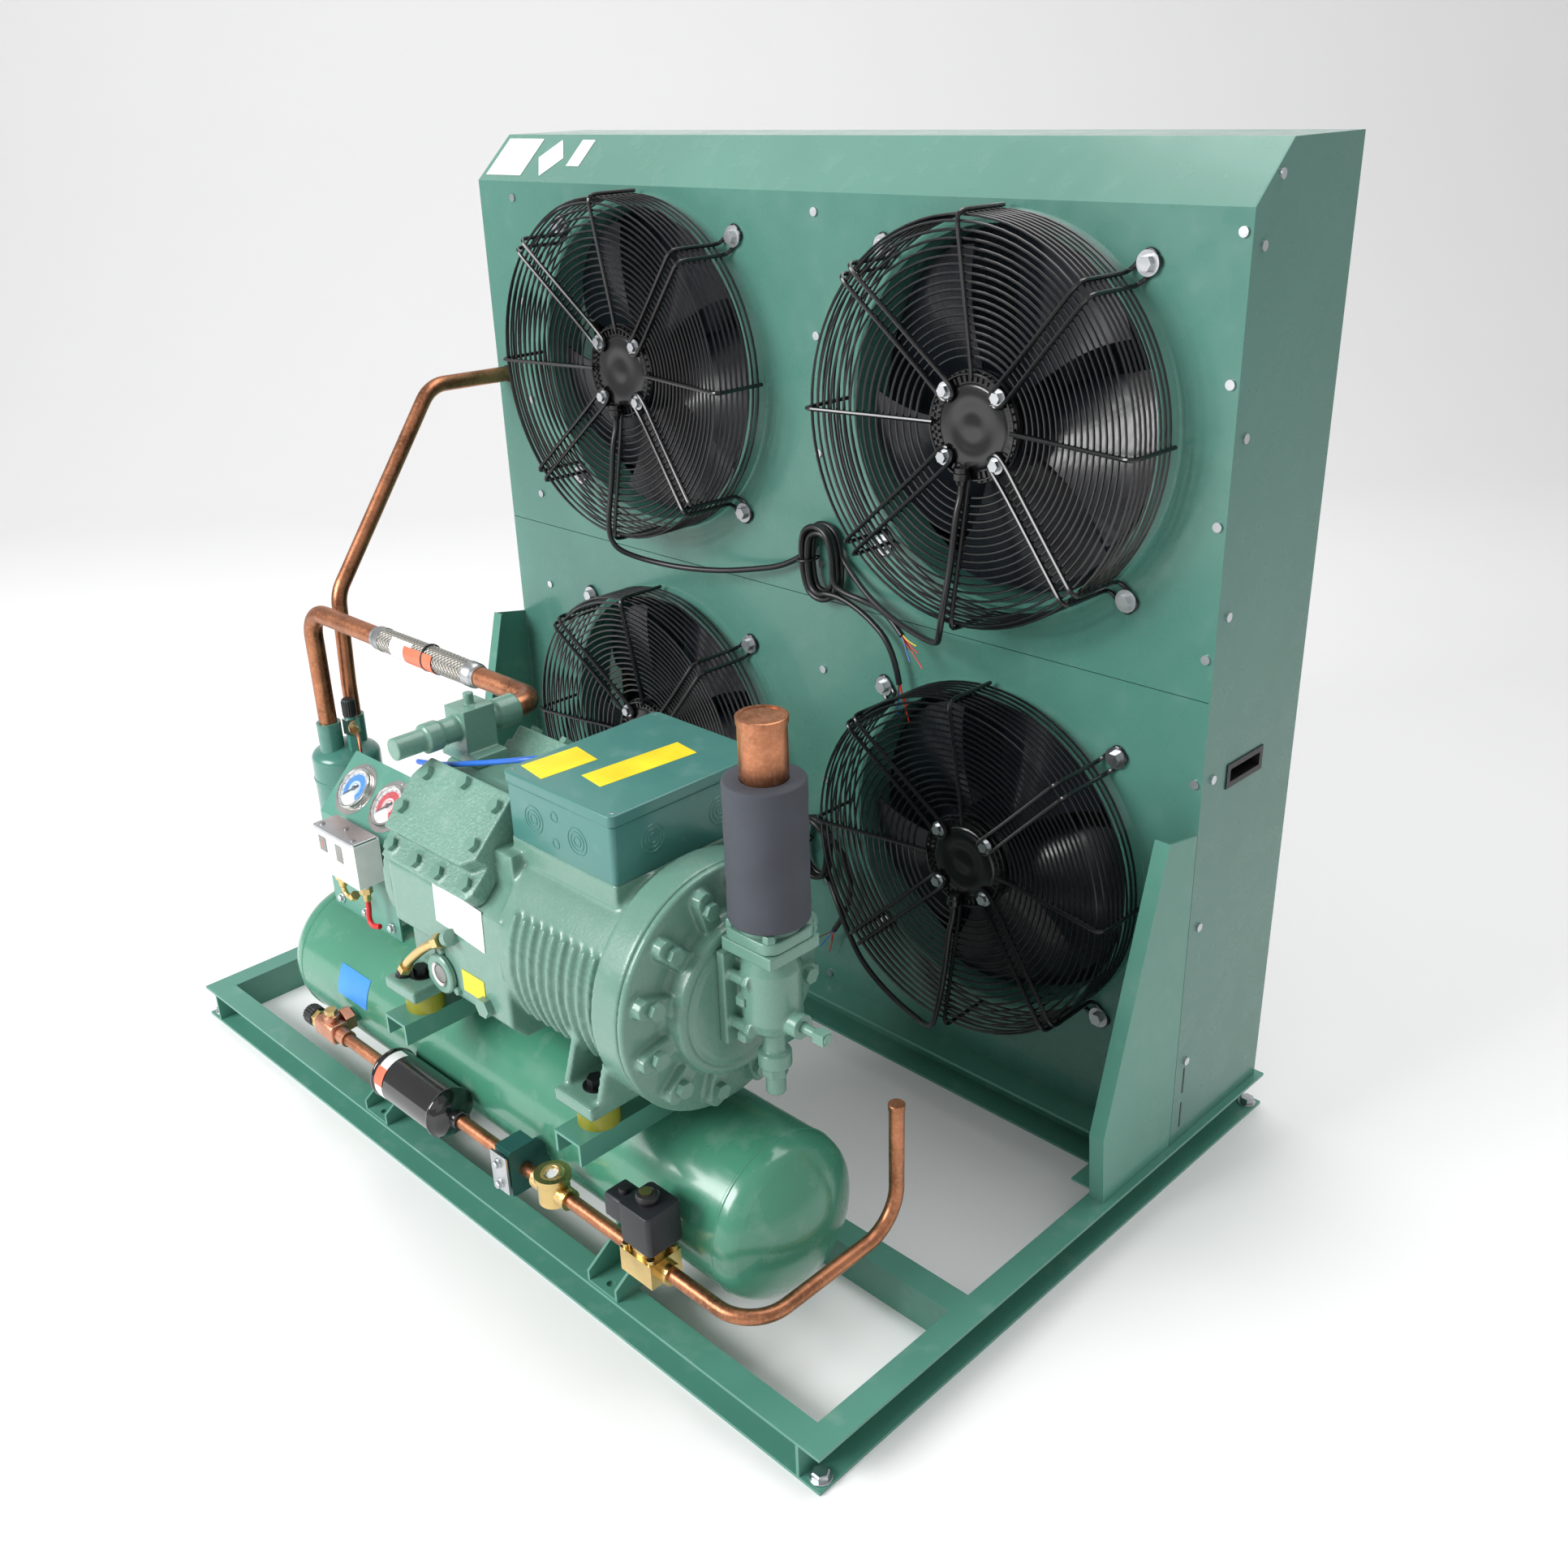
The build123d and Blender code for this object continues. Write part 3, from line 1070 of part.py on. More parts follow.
def hank(centre, lean):
    """Tied hank of cable: one closed racetrack bundle leaning against the panel."""
    bundle = 11.0
    plane = Plane(origin=centre, x_dir=(cos(radians(lean)), 0, sin(radians(lean))), z_dir=(0, -1, 0))
    with BuildPart() as piece:
        with BuildSketch(plane.offset(-bundle)):
            SlotCenterToCenter(46, 78, rotation=90)
            SlotCenterToCenter(46, 34, rotation=90, mode=Mode.SUBTRACT)
        extrude(amount=2 * bundle)
        fillet(piece.edges(), 6)
    return piece.part


upper_hank_centre = (78.0, 226.0, 792.0)
lower_hank_centre = (50.0, 226.0, 312.0)
finish(cord(upper_left_route, cable_radius), "cable_upper_left")
upper_right_routes = (upper_right_route, upper_end_route, upper_tail_route)
upper_right_cables = [cord(route, cable_radius) for route in upper_right_routes]
finish(Compound(children=upper_right_cables), "cable_upper_right")
lower_right_cables = [cord(route, cable_radius) for route in (lower_right_route, lower_tail_route)]
finish(Compound(children=lower_right_cables), "cable_lower_right")
finish(Compound(children=[hank(upper_hank_centre, 4), hank(lower_hank_centre, -2)]), "cable_hanks")
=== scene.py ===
import math
import bmesh
import bpy
import numpy as np
from mathutils import Matrix, Vector


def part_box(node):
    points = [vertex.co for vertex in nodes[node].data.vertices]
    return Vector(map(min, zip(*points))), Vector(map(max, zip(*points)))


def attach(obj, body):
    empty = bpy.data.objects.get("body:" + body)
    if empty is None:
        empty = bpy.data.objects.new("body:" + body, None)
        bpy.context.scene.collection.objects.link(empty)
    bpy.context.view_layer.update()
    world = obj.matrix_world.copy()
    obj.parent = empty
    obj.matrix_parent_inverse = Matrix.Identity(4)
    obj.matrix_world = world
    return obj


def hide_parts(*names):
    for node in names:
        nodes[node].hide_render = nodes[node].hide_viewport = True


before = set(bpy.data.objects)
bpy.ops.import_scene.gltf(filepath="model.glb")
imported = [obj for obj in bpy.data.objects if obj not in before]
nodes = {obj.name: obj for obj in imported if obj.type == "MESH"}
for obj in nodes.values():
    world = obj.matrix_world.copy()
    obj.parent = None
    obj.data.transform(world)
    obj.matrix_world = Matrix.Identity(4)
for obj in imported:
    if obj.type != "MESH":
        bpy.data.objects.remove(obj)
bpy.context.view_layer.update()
collection = bpy.context.scene.collection
print("stage: frame loaded")


# shader tools
class Wire:
    # a shader socket that can be used in Python arithmetic
    def __init__(self, shader, socket):
        self.shader = shader
        self.socket = socket

    def maths(self, operation, other=0.0, swap=False, clamp=False):
        pair = [other, self] if swap else [self, other]
        made = self.shader.node("ShaderNodeMath", {"operation": operation, "use_clamp": clamp},
            {0: pair[0], 1: pair[1]})
        return Wire(self.shader, made.outputs[0])

    def __add__(self, other): return self.maths("ADD", other)
    def __radd__(self, other): return self.maths("ADD", other, True)
    def __sub__(self, other): return self.maths("SUBTRACT", other)
    def __rsub__(self, other): return self.maths("SUBTRACT", other, True)
    def __mul__(self, other): return self.maths("MULTIPLY", other)
    def __rmul__(self, other): return self.maths("MULTIPLY", other, True)
    def __truediv__(self, other): return self.maths("DIVIDE", other)
    def __pow__(self, other): return self.maths("POWER", other)
    def __gt__(self, other): return self.maths("GREATER_THAN", other)
    def __lt__(self, other): return self.maths("LESS_THAN", other)
    def sine(self): return self.maths("SINE")
    def fraction(self): return self.maths("FRACT")
    def clamped(self): return self.maths("ADD", 0.0, clamp=True)
    def largest(self, other): return self.maths("MAXIMUM", other)


class Shader:
    # one material: a Principled BSDF, its constants, and methods that add nodes
    def __init__(self, name, colour, roughness, metallic=0.0, **constants):
        self.material = bpy.data.materials.new(name)
        self.material.use_nodes = True
        self.tree = self.material.node_tree
        self.tree.nodes.clear()
        self.output = self.tree.nodes.new("ShaderNodeOutputMaterial")
        self.surface = self.tree.nodes.new("ShaderNodeBsdfPrincipled")
        self.tree.links.new(self.surface.outputs[0], self.output.inputs[0])
        self.material.diffuse_color = (*colour, 1)
        self.feed("Base Color", (*colour, 1))
        self.feed("Roughness", roughness)
        self.feed("Metallic", metallic)
        for socket, value in constants.items():
            self.feed(socket.replace("_", " "), value)
        self.coordinates = Wire(self, self.node("ShaderNodeTexCoord", {}, {}).outputs["Object"])

    def feed(self, socket, value):
        self.put(self.surface.inputs[socket], value)

    def put(self, target, value):
        if isinstance(value, Wire):
            self.tree.links.new(value.socket, target)
        else:
            target.default_value = value

    def node(self, kind, settings, inputs):
        made = self.tree.nodes.new(kind)
        for key, value in settings.items():
            if key == "stops":
                while len(made.color_ramp.elements) < len(value):
                    made.color_ramp.elements.new(0.5)
                for element, (place, colour) in zip(made.color_ramp.elements, value):
                    element.position = place
                    element.color = colour
            else:
                setattr(made, key, value)
        for key, value in inputs.items():
            self.put(made.inputs[key], value)
        return made

    def noise(self, scale, detail=2.0, stretch=(1, 1, 1), roughness=0.5):
        mapped = self.node("ShaderNodeMapping", {}, {"Vector": self.coordinates, "Scale": stretch})
        made = self.node("ShaderNodeTexNoise", {},
            {"Vector": Wire(self, mapped.outputs[0]), "Scale": scale, "Detail": detail,
                "Roughness": roughness})
        return Wire(self, made.outputs[0])

    def parts(self, vector=None):
        made = self.node("ShaderNodeSeparateXYZ", {}, {0: vector or self.coordinates})
        return [Wire(self, made.outputs[axis]) for axis in range(3)]

    def uv(self):
        return self.parts(Wire(self, self.node("ShaderNodeTexCoord", {}, {}).outputs["UV"]))

    def blend(self, factor, first, second):
        made = self.node("ShaderNodeMix", {"data_type": "RGBA"}, {0: factor, 6: first, 7: second})
        return Wire(self, made.outputs[2])

    def bump(self, height, strength, distance=0.001):
        made = self.node("ShaderNodeBump", {},
            {"Strength": strength, "Distance": distance, "Height": height})
        self.feed("Normal", Wire(self, made.outputs[0]))

    def spread(self, wire, low, high):
        # stretches a noise value so that low becomes 0 and high becomes 1
        return ((wire - low) * (1 / (high - low))).clamped()


def shade(colour, factor):
    # colour times factor, each channel kept to 1, with an alpha
    return (*[min(1.0, channel * factor) for channel in colour], 1)


def paint(name, colour, roughness=0.32, peel=0.08, cast=0.0, dust=0.12, coat=0.25):
    # sprayed paint: cloudy tone, orange peel, a little dust, and cast grain under it where asked
    shader = Shader(name, colour, roughness, Coat_Weight=coat, Coat_Roughness=0.12, Specular_IOR_Level=0.45)
    cloud = shader.noise(3.2, 3)
    mottle = shader.noise(26, 4)
    tone = shader.blend(shader.spread(cloud, 0.3, 0.7), shade(colour, 0.93), shade(colour, 1.06))
    scuff = shader.spread(mottle, 0.58, 0.78) * dust
    tone = shader.blend(scuff, tone, (0.62, 0.68, 0.64, 1))
    shader.feed("Base Color", tone)
    shader.feed("Roughness", roughness + 0.16 * shader.spread(mottle, 0.3, 0.75) - 0.05)
    height = shader.noise(620, 1) * peel
    if cast:
        grain = shader.noise(230, 3, roughness=0.62)
        height = height + grain * cast
        shader.feed("Base Color", shader.blend(shader.spread(grain, 0.50, 0.72) * min(0.5, 0.2 * cast),
                tone, shade(colour, 1.7)))
    shader.bump(height, 0.55, 0.0012)
    return shader.material


def metal(name, colour, roughness, dark=0.7, scale=60, stretch=(1, 1, 1), grain=0.08):
    # bare metal: tarnish clouds, fine drawn grain
    shader = Shader(name, colour, roughness, 1.0)
    cloud = shader.noise(scale * 0.25, 4, stretch)
    grainNoise = shader.noise(scale * 9, 2, stretch)
    tone = shader.blend(shader.spread(cloud, 0.32, 0.72), shade(colour, dark), shade(colour, 1.12))
    shader.feed("Base Color", tone)
    shader.feed("Roughness", roughness + 0.22 * (cloud - 0.5) + 0.1 * grainNoise)
    shader.bump(grainNoise * grain + cloud * 0.1, 0.35, 0.0006)
    return shader.material


def copperTube(name, colour, dark=0.42):
    # drawn copper: brown oxide patches, bright rubbed specks
    shader = Shader(name, colour, 0.3, 1.0)
    cloud = shader.noise(16, 5, roughness=0.62)
    speck = shader.noise(210, 3, roughness=0.7)
    tone = shader.blend(shader.spread(cloud, 0.34, 0.66), shade(colour, dark), shade(colour, 1.08))
    tone = shader.blend(shader.spread(speck, 0.45, 0.8) * 0.5, tone, (0.70, 0.38, 0.24, 1))
    shader.feed("Base Color", tone)
    shader.feed("Roughness", 0.2 + 0.26 * speck + 0.12 * cloud)
    shader.bump(speck * 0.3, 0.35, 0.0005)
    return shader.material


def plastic(name, colour, roughness, grain=0.1, scale=500, coat=0.0):
    # moulded or painted surface: tone and gloss drift with a slow noise, a fine noise gives grain
    shader = Shader(name, colour, roughness, Coat_Weight=coat, Coat_Roughness=0.08)
    cloud = shader.noise(14, 3)
    fine = shader.noise(scale, 2)
    shader.feed("Base Color", shader.blend(shader.spread(cloud, 0.3, 0.7), shade(colour, 0.85),
            shade(colour, 1.15)))
    shader.feed("Roughness", roughness + 0.14 * (cloud - 0.5))
    shader.bump(fine * grain, 0.4, 0.0006)
    return shader.material


def finStock(name, colour):
    # aluminium fins edge on: fine vertical sheets a few millimetres apart with painted shade in the gaps
    # between them, dents across them painted lighter as painted highlight
    shader = Shader(name, colour, 0.55, 0.35)
    x = shader.parts()[0]
    sheetsAndGapShade = ((x * (1 / 0.0042)).fraction() - 0.5).maths("ABSOLUTE") * 2
    dentsWithGlint = shader.noise(22, 4)
    # painted shade: the gaps between the sheets are darkened to a fifth of the colour
    tone = shader.blend(sheetsAndGapShade, shade(colour, 0.22), shade(colour, 1.1))
    # painted highlight: patches where the dents lie are lightened
    tone = shader.blend(shader.spread(dentsWithGlint, 0.5, 0.8) * 0.3, tone, shade(colour, 1.4))
    shader.feed("Base Color", tone)
    shader.feed("Roughness", 0.5 + 0.2 * dentsWithGlint)
    shader.bump(sheetsAndGapShade, 0.6, 0.001)
    return shader.material


def braidWire(name, colour):
    # two crossing families of wire strands around the tube, from the tube's own UV, with painted shade in
    # the gaps between the strands
    shader = Shader(name, colour, 0.34, 0.9)
    u, v, _ = shader.uv()
    right = (u * 88.0 + v * 180.0).sine()
    left = (u * 88.0 - v * 180.0).sine()
    weaveAndGapShade = right.largest(left)
    checker = (right * left > 0.0)
    # painted shade: darker where neither strand lies, lighter on the strands
    tone = shader.blend((weaveAndGapShade * 0.5 + 0.5).clamped(), shade(colour, 0.35), shade(colour, 1.15))
    tone = shader.blend(checker * 0.35, tone, (0.50, 0.45, 0.36, 1))
    shader.feed("Base Color", tone)
    shader.feed("Roughness", 0.3 + 0.2 * shader.noise(90, 2))
    shader.bump(weaveAndGapShade, 0.8, 0.0012)
    return shader.material


def dialFace(name, bandColour):
    # printed gauge dial: coloured band, ticks every few degrees over 270 degrees
    shader = Shader(name, (0.85, 0.87, 0.9), 0.35)
    u, v, _ = shader.uv()
    x = u - 0.5
    y = v - 0.5
    radius = (x * x + y * y) ** 0.5 * 2
    turn = x.maths("ARCTAN2", y) * (1 / math.pi)
    swept = turn.maths("ABSOLUTE") < 0.76
    fine = ((turn * 40).fraction() < 0.22) * (radius > 0.82) * (radius < 0.90) * swept
    coarse = ((turn * 8 + 0.06).fraction() < 0.12) * (radius > 0.80) * (radius < 0.94) * swept
    band = (radius > 0.42) * (radius < 0.80) * swept
    inner = (radius > 0.24) * (radius < 0.34) * swept
    tone = shader.blend(band, (0.86, 0.88, 0.9, 1), (*bandColour, 1))
    tone = shader.blend(inner * 0.7, tone, shade(bandColour, 1.5))
    tone = shader.blend(fine.largest(coarse), tone, (0.02, 0.02, 0.03, 1))
    shader.feed("Base Color", tone)
    shader.feed("Roughness", 0.3 + 0.1 * shader.noise(80, 1))
    return shader.material


def clearGlass(name, tint=(0.92, 0.96, 0.96)):
    # thin clear cover with faint smears
    shader = Shader(name, tint, 0.03, Transmission_Weight=1.0, IOR=1.3, Alpha=0.35)
    shader.feed("Roughness", 0.02 + 0.04 * shader.noise(40, 2))
    return shader.material


look = {}


def mix(maker, name, *settings, **more):
    # makes a material and files it under its name
    look[name] = maker(name, *settings, **more)


mix(paint, "frameGreen", (0.084, 0.265, 0.202), 0.36, dust=0.10)
mix(paint, "caseGreen", (0.072, 0.210, 0.166), 0.28, peel=0.05, dust=0.04)
# the case paint made lighter for the hood: painted sheen standing in for the light on its top
mix(paint, "hoodGreen", (0.112, 0.255, 0.205), 0.22, peel=0.05, dust=0.04)
mix(paint, "tankGreen", (0.058, 0.235, 0.150), 0.22, peel=0.10, dust=0.12, coat=0.5)
mix(paint, "castGreen", (0.130, 0.262, 0.208), 0.27, peel=0.08, cast=0.40, dust=0.10)
mix(paint, "roughCastGreen", (0.138, 0.272, 0.216), 0.30, peel=0.1, cast=2.2, dust=0.14)
mix(paint, "boxGreen", (0.055, 0.195, 0.172), 0.34, peel=0.06, dust=0.08)
mix(paint, "separatorGreen", (0.055, 0.205, 0.165), 0.26, dust=0.08, coat=0.4)
mix(copperTube, "copper", (0.50, 0.205, 0.105))
mix(copperTube, "brightCopper", (0.66, 0.31, 0.20), 0.75)
mix(metal, "brass", (0.80, 0.58, 0.25), 0.25, 0.75)
mix(metal, "zinc", (0.62, 0.64, 0.66), 0.28, 0.72)
mix(metal, "chrome", (0.72, 0.70, 0.68), 0.12, 0.85, grain=0.03)
mix(metal, "steel", (0.45, 0.46, 0.47), 0.32, 0.8)
mix(metal, "darkSteel", (0.05, 0.05, 0.055), 0.35, 0.8)
mix(metal, "winding", (0.50, 0.22, 0.12), 0.4, 0.6, 90, (1, 8, 8))
mix(metal, "castAlloy", (0.60, 0.60, 0.61), 0.42, 0.8)
mix(plastic, "wireBlack", (0.005, 0.005, 0.006), 0.25, 0.05, coat=0.2)
mix(plastic, "motorBlack", (0.005, 0.005, 0.006), 0.22, 0.04, coat=0.1)
mix(plastic, "bladeBlack", (0.006, 0.007, 0.011), 0.24, 0.06, coat=0.15)
mix(plastic, "capBlack", (0.012, 0.012, 0.014), 0.42, 0.2)
mix(plastic, "drierBlack", (0.006, 0.006, 0.007), 0.12, 0.05, coat=0.8)
mix(plastic, "coilBlack", (0.013, 0.014, 0.018), 0.45, 0.25)
mix(plastic, "cableBlack", (0.010, 0.010, 0.011), 0.34, 0.1)
mix(plastic, "foamGrey", (0.052, 0.058, 0.072), 0.78, 0.9, 260)
mix(plastic, "rubberMount", (0.24, 0.24, 0.015), 0.38, 0.1)
mix(plastic, "clampTeal", (0.02, 0.10, 0.09), 0.4, 0.2)
mix(plastic, "coverWhite", (0.78, 0.79, 0.78), 0.3, 0.04)
mix(plastic, "windowGrey", (0.22, 0.22, 0.21), 0.3, 0.04)
mix(plastic, "labelWhite", (0.80, 0.81, 0.80), 0.4, 0.04)
mix(plastic, "labelYellow", (0.86, 0.66, 0.02), 0.38, 0.04)
mix(plastic, "labelBlue", (0.04, 0.26, 0.72), 0.38, 0.04)
mix(plastic, "labelOrange", (0.80, 0.16, 0.08), 0.38, 0.04)
mix(plastic, "printInk", (0.03, 0.03, 0.035), 0.45, 0.04)
mix(plastic, "hoseBlue", (0.02, 0.13, 0.55), 0.34, 0.1)
mix(plastic, "wireRed", (0.60, 0.02, 0.02), 0.35, 0.05)
mix(plastic, "wireYellow", (0.70, 0.55, 0.02), 0.35, 0.05)
mix(plastic, "wireBrown", (0.14, 0.05, 0.02), 0.35, 0.05)
mix(finStock, "fins", (0.10, 0.135, 0.165))
mix(braidWire, "braid", (0.36, 0.35, 0.33))
mix(dialFace, "dialLow", (0.03, 0.26, 0.70))
mix(dialFace, "dialHigh", (0.62, 0.04, 0.06))
mix(clearGlass, "glass")
print("stage: materials", len(look))


# surface tools; shapes are in millimetres and become metres in piece()
def gridFaces(rows, columns, wrapRows=False, wrapColumns=True):
    # quads of a grid of points, row by row, wrapped round where asked
    rowIndex, columnIndex = np.meshgrid(np.arange(rows if wrapRows else rows - 1),
        np.arange(columns if wrapColumns else columns - 1), indexing="ij")
    nextRow = (rowIndex + 1) % rows
    nextColumn = (columnIndex + 1) % columns
    quads = np.stack([rowIndex * columns + columnIndex, rowIndex * columns + nextColumn,
            nextRow * columns + nextColumn, nextRow * columns + columnIndex], -1)
    return quads.reshape(-1, 4).tolist()


def axes(direction, sideways=None):
    # unit axis and two unit vectors across it
    axis = np.array(direction, float) / np.linalg.norm(direction)
    hint = np.array(sideways if sideways is not None else ((0, 0, 1) if abs(axis[2]) < 0.9 else (1, 0, 0)),
        float)
    side = hint - axis * (hint @ axis)
    side /= np.linalg.norm(side)
    return axis, side, np.cross(axis, side)


def lathe(profile, origin, direction, sides=48, sideways=None):
    # a profile of (radius, height) turned round: origin + height * axis + radius * (cos, sin)
    profile = np.array(profile, float)
    axis, side, other = axes(direction, sideways)
    angle = np.linspace(0, 2 * np.pi, sides, endpoint=False)
    ring = np.cos(angle)[:, None] * side + np.sin(angle)[:, None] * other
    points = np.array(origin) + profile[:, 1, None, None] * axis + profile[:, 0, None, None] * ring[None]
    return points.reshape(-1, 3), gridFaces(len(profile), sides), None


def sweep(path, radius, sides=8, closed=False):
    # circles carried along a path: point + radius * (cos * normal + sin * binormal)
    path = np.array(path, float)
    tangent = np.roll(path, -1, 0) - np.roll(path, 1, 0) if closed else np.gradient(path, axis=0)
    tangent /= np.linalg.norm(tangent, axis=1)[:, None]
    spread = np.linalg.svd(path - path.mean(0))[2][2]
    normal = np.cross(tangent, spread)
    normal /= np.linalg.norm(normal, axis=1)[:, None]
    binormal = np.cross(tangent, normal)
    angle = np.linspace(0, 2 * np.pi, sides, endpoint=False)
    points = path[:, None] + radius * (np.cos(angle)[None, :, None] * normal[:, None]
        + np.sin(angle)[None, :, None] * binormal[:, None])
    faces = gridFaces(len(path), sides, wrapRows=closed)
    if not closed:
        last = (len(path) - 1) * sides
        faces += [list(range(sides))[::-1], list(range(last, last + sides))]
    return points.reshape(-1, 3), faces, None


def softPath(points, steps=6, closed=False):
    # quadratic B-spline: from mid-run to mid-run, with the route's points as controls
    points = np.array(points, float)
    if closed:
        before, here, after = np.roll(points, 1, 0), points, np.roll(points, -1, 0)
    else:
        before, here, after = points[:-2], points[1:-1], points[2:]
    start, end = (before + here) / 2, (here + after) / 2
    t = np.linspace(0, 1, steps, endpoint=False)[None, :, None]
    curve = (start[:, None] * (1 - t) ** 2 + here[:, None] * 2 * t * (1 - t) + end[:, None] * t ** 2)
    curve = curve.reshape(-1, 3)
    return curve if closed else np.vstack([points[0], curve, (points[-2] + points[-1]) / 2, points[-1]])


def block(low, high):
    # box with square edges: low + corner * (high - low)
    low, high = np.array(low, float), np.array(high, float)
    corner = np.array([(i, j, k) for i in (0, 1) for j in (0, 1) for k in (0, 1)])
    faces = [[0, 1, 3, 2], [4, 6, 7, 5], [0, 4, 5, 1], [2, 3, 7, 6], [0, 2, 6, 4], [1, 5, 7, 3]]
    return low + corner * (high - low), faces, None


def hexBar(origin, direction, across, length, sideways=None):
    # hexagon: radius to the corners = size across flats / sqrt(3)
    radius = across / math.sqrt(3)
    profile = [(0, 0), (radius, 0), (radius, length), (0, length)]
    return lathe(profile, origin, direction, 6, sideways)


def softBlock(low, high, corner, edge, upright=2, steps=5):
    # rounded rectangle loops stacked along one axis, drawn in at both ends by a quarter circle
    low, high = np.array(low, float), np.array(high, float)
    flat = [axis for axis in range(3) if axis != upright]
    middle, half = (low + high) / 2, (high - low) / 2
    quarter = np.linspace(0, np.pi / 2, steps)
    levels = np.concatenate([low[upright] + edge * (1 - np.cos(quarter)),
            high[upright] - edge * (1 - np.cos(quarter[::-1]))])
    inset = np.concatenate([edge * (1 - np.sin(quarter)), edge * (1 - np.sin(quarter[::-1]))])
    angle = np.concatenate([quarter + turn * np.pi / 2 for turn in range(4)])
    signs = np.repeat([(1, 1), (-1, 1), (-1, -1), (1, -1)], steps, axis=0)
    points = np.zeros((len(levels), len(angle), 3))
    for column, axis in enumerate(flat):
        wave = np.cos(angle) if column == 0 else np.sin(angle)
        centre = signs[:, column] * (half[axis] - corner)
        points[:, :, axis] = middle[axis] + centre[None] + wave[None] * corner - inset[:, None] * np.sign(
            signs[:, column])[None]
    points[:, :, upright] = levels[:, None]
    count = len(angle)
    last = (len(levels) - 1) * count
    faces = gridFaces(len(levels), count) + [list(range(count))[::-1], list(range(last, last + count))]
    return points.reshape(-1, 3), faces, None


def prism(low, high):
    # two outlines with as many points each, closed and joined by side faces
    count = len(low)
    faces = [list(range(count))[::-1], list(range(count, 2 * count))]
    faces += [[k, (k + 1) % count, (k + 1) % count + count, k + count] for k in range(count)]
    return np.vstack([low, high]), faces, None


def plate(corners, thickness):
    # flat label: a polygon given thickness along its own normal
    corners = np.array(corners, float)
    normal = np.cross(corners[1] - corners[0], corners[2] - corners[1])
    normal /= np.linalg.norm(normal)
    return prism(corners, corners + normal * thickness)


def curvedPlate(centre, radius, x, angles, thickness=0.0006, columns=14):
    # label wrapped on a cylinder along X: centre (y, z), from x[0] to x[1], between two angles in degrees
    angle = np.radians(np.linspace(angles[0], angles[1], columns))
    rings = [(radius, x[0]), (radius + thickness, x[0]), (radius + thickness, x[1]), (radius, x[1])]
    points = np.array([[(along, centre[0] + r * math.cos(a), centre[1] + r * math.sin(a)) for r,
            along in rings] for a in angle]).reshape(-1, 3)
    last = 4 * (columns - 1)
    return points, gridFaces(columns, 4) + [[3, 2, 1, 0], [last, last + 1, last + 2, last + 3]], None


def settle(mesh, crease):
    # merges doubles, turns faces outwards and keeps edges sharper than the crease angle crisp
    work = bmesh.new()
    work.from_mesh(mesh)
    bmesh.ops.remove_doubles(work, verts=work.verts, dist=1e-6)
    bmesh.ops.dissolve_degenerate(work, edges=work.edges, dist=1e-7)
    bmesh.ops.recalc_face_normals(work, faces=work.faces)
    limit = math.radians(crease)
    for edge in work.edges:
        edge.smooth = len(edge.link_faces) == 2 and edge.calc_face_angle(0) < limit
    for face in work.faces:
        face.smooth = True
    work.to_mesh(mesh)
    work.free()


def piece(name, parts, body="frame", replace=(), crease=40, bevel=0.0):
    # one mesh object from (shape, material) pairs
    points, faces, materialOf, uvs, base = [], [], [], [], 0
    names = []
    for shape, material in parts:
        if material not in names:
            names.append(material)
        points.append(shape[0])
        faces += [[index + base for index in face] for face in shape[1]]
        materialOf += [names.index(material)] * len(shape[1])
        uvs.append(shape[2] if shape[2] is not None else np.zeros((len(shape[0]), 2)))
        base += len(shape[0])
    mesh = bpy.data.meshes.new(name)
    mesh.from_pydata((np.vstack(points) / 1000).tolist(), [], faces)
    for material in names:
        mesh.materials.append(look[material])
    mesh.polygons.foreach_set("material_index", materialOf)
    corner = np.zeros(len(mesh.loops), np.int32)
    mesh.loops.foreach_get("vertex_index", corner)
    mesh.uv_layers.new(name="UVMap").data.foreach_set("uv", np.vstack(uvs)[corner].ravel())
    settle(mesh, crease)
    made = bpy.data.objects.new(name, mesh)
    collection.objects.link(made)
    if bevel:
        rounding = made.modifiers.new("rounding", "BEVEL")
        rounding.width = bevel
        rounding.segments = 2
        rounding.limit_method = "ANGLE"
    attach(made, body)
    if replace:
        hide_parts(*replace)
    return made


def evaluated(made):
    # replaces an object's mesh with what its modifiers give
    bpy.context.view_layer.update()
    finished = bpy.data.meshes.new_from_object(made.evaluated_get(bpy.context.evaluated_depsgraph_get()))
    made.modifiers.clear()
    old = made.data
    made.data = finished
    bpy.data.meshes.remove(old)


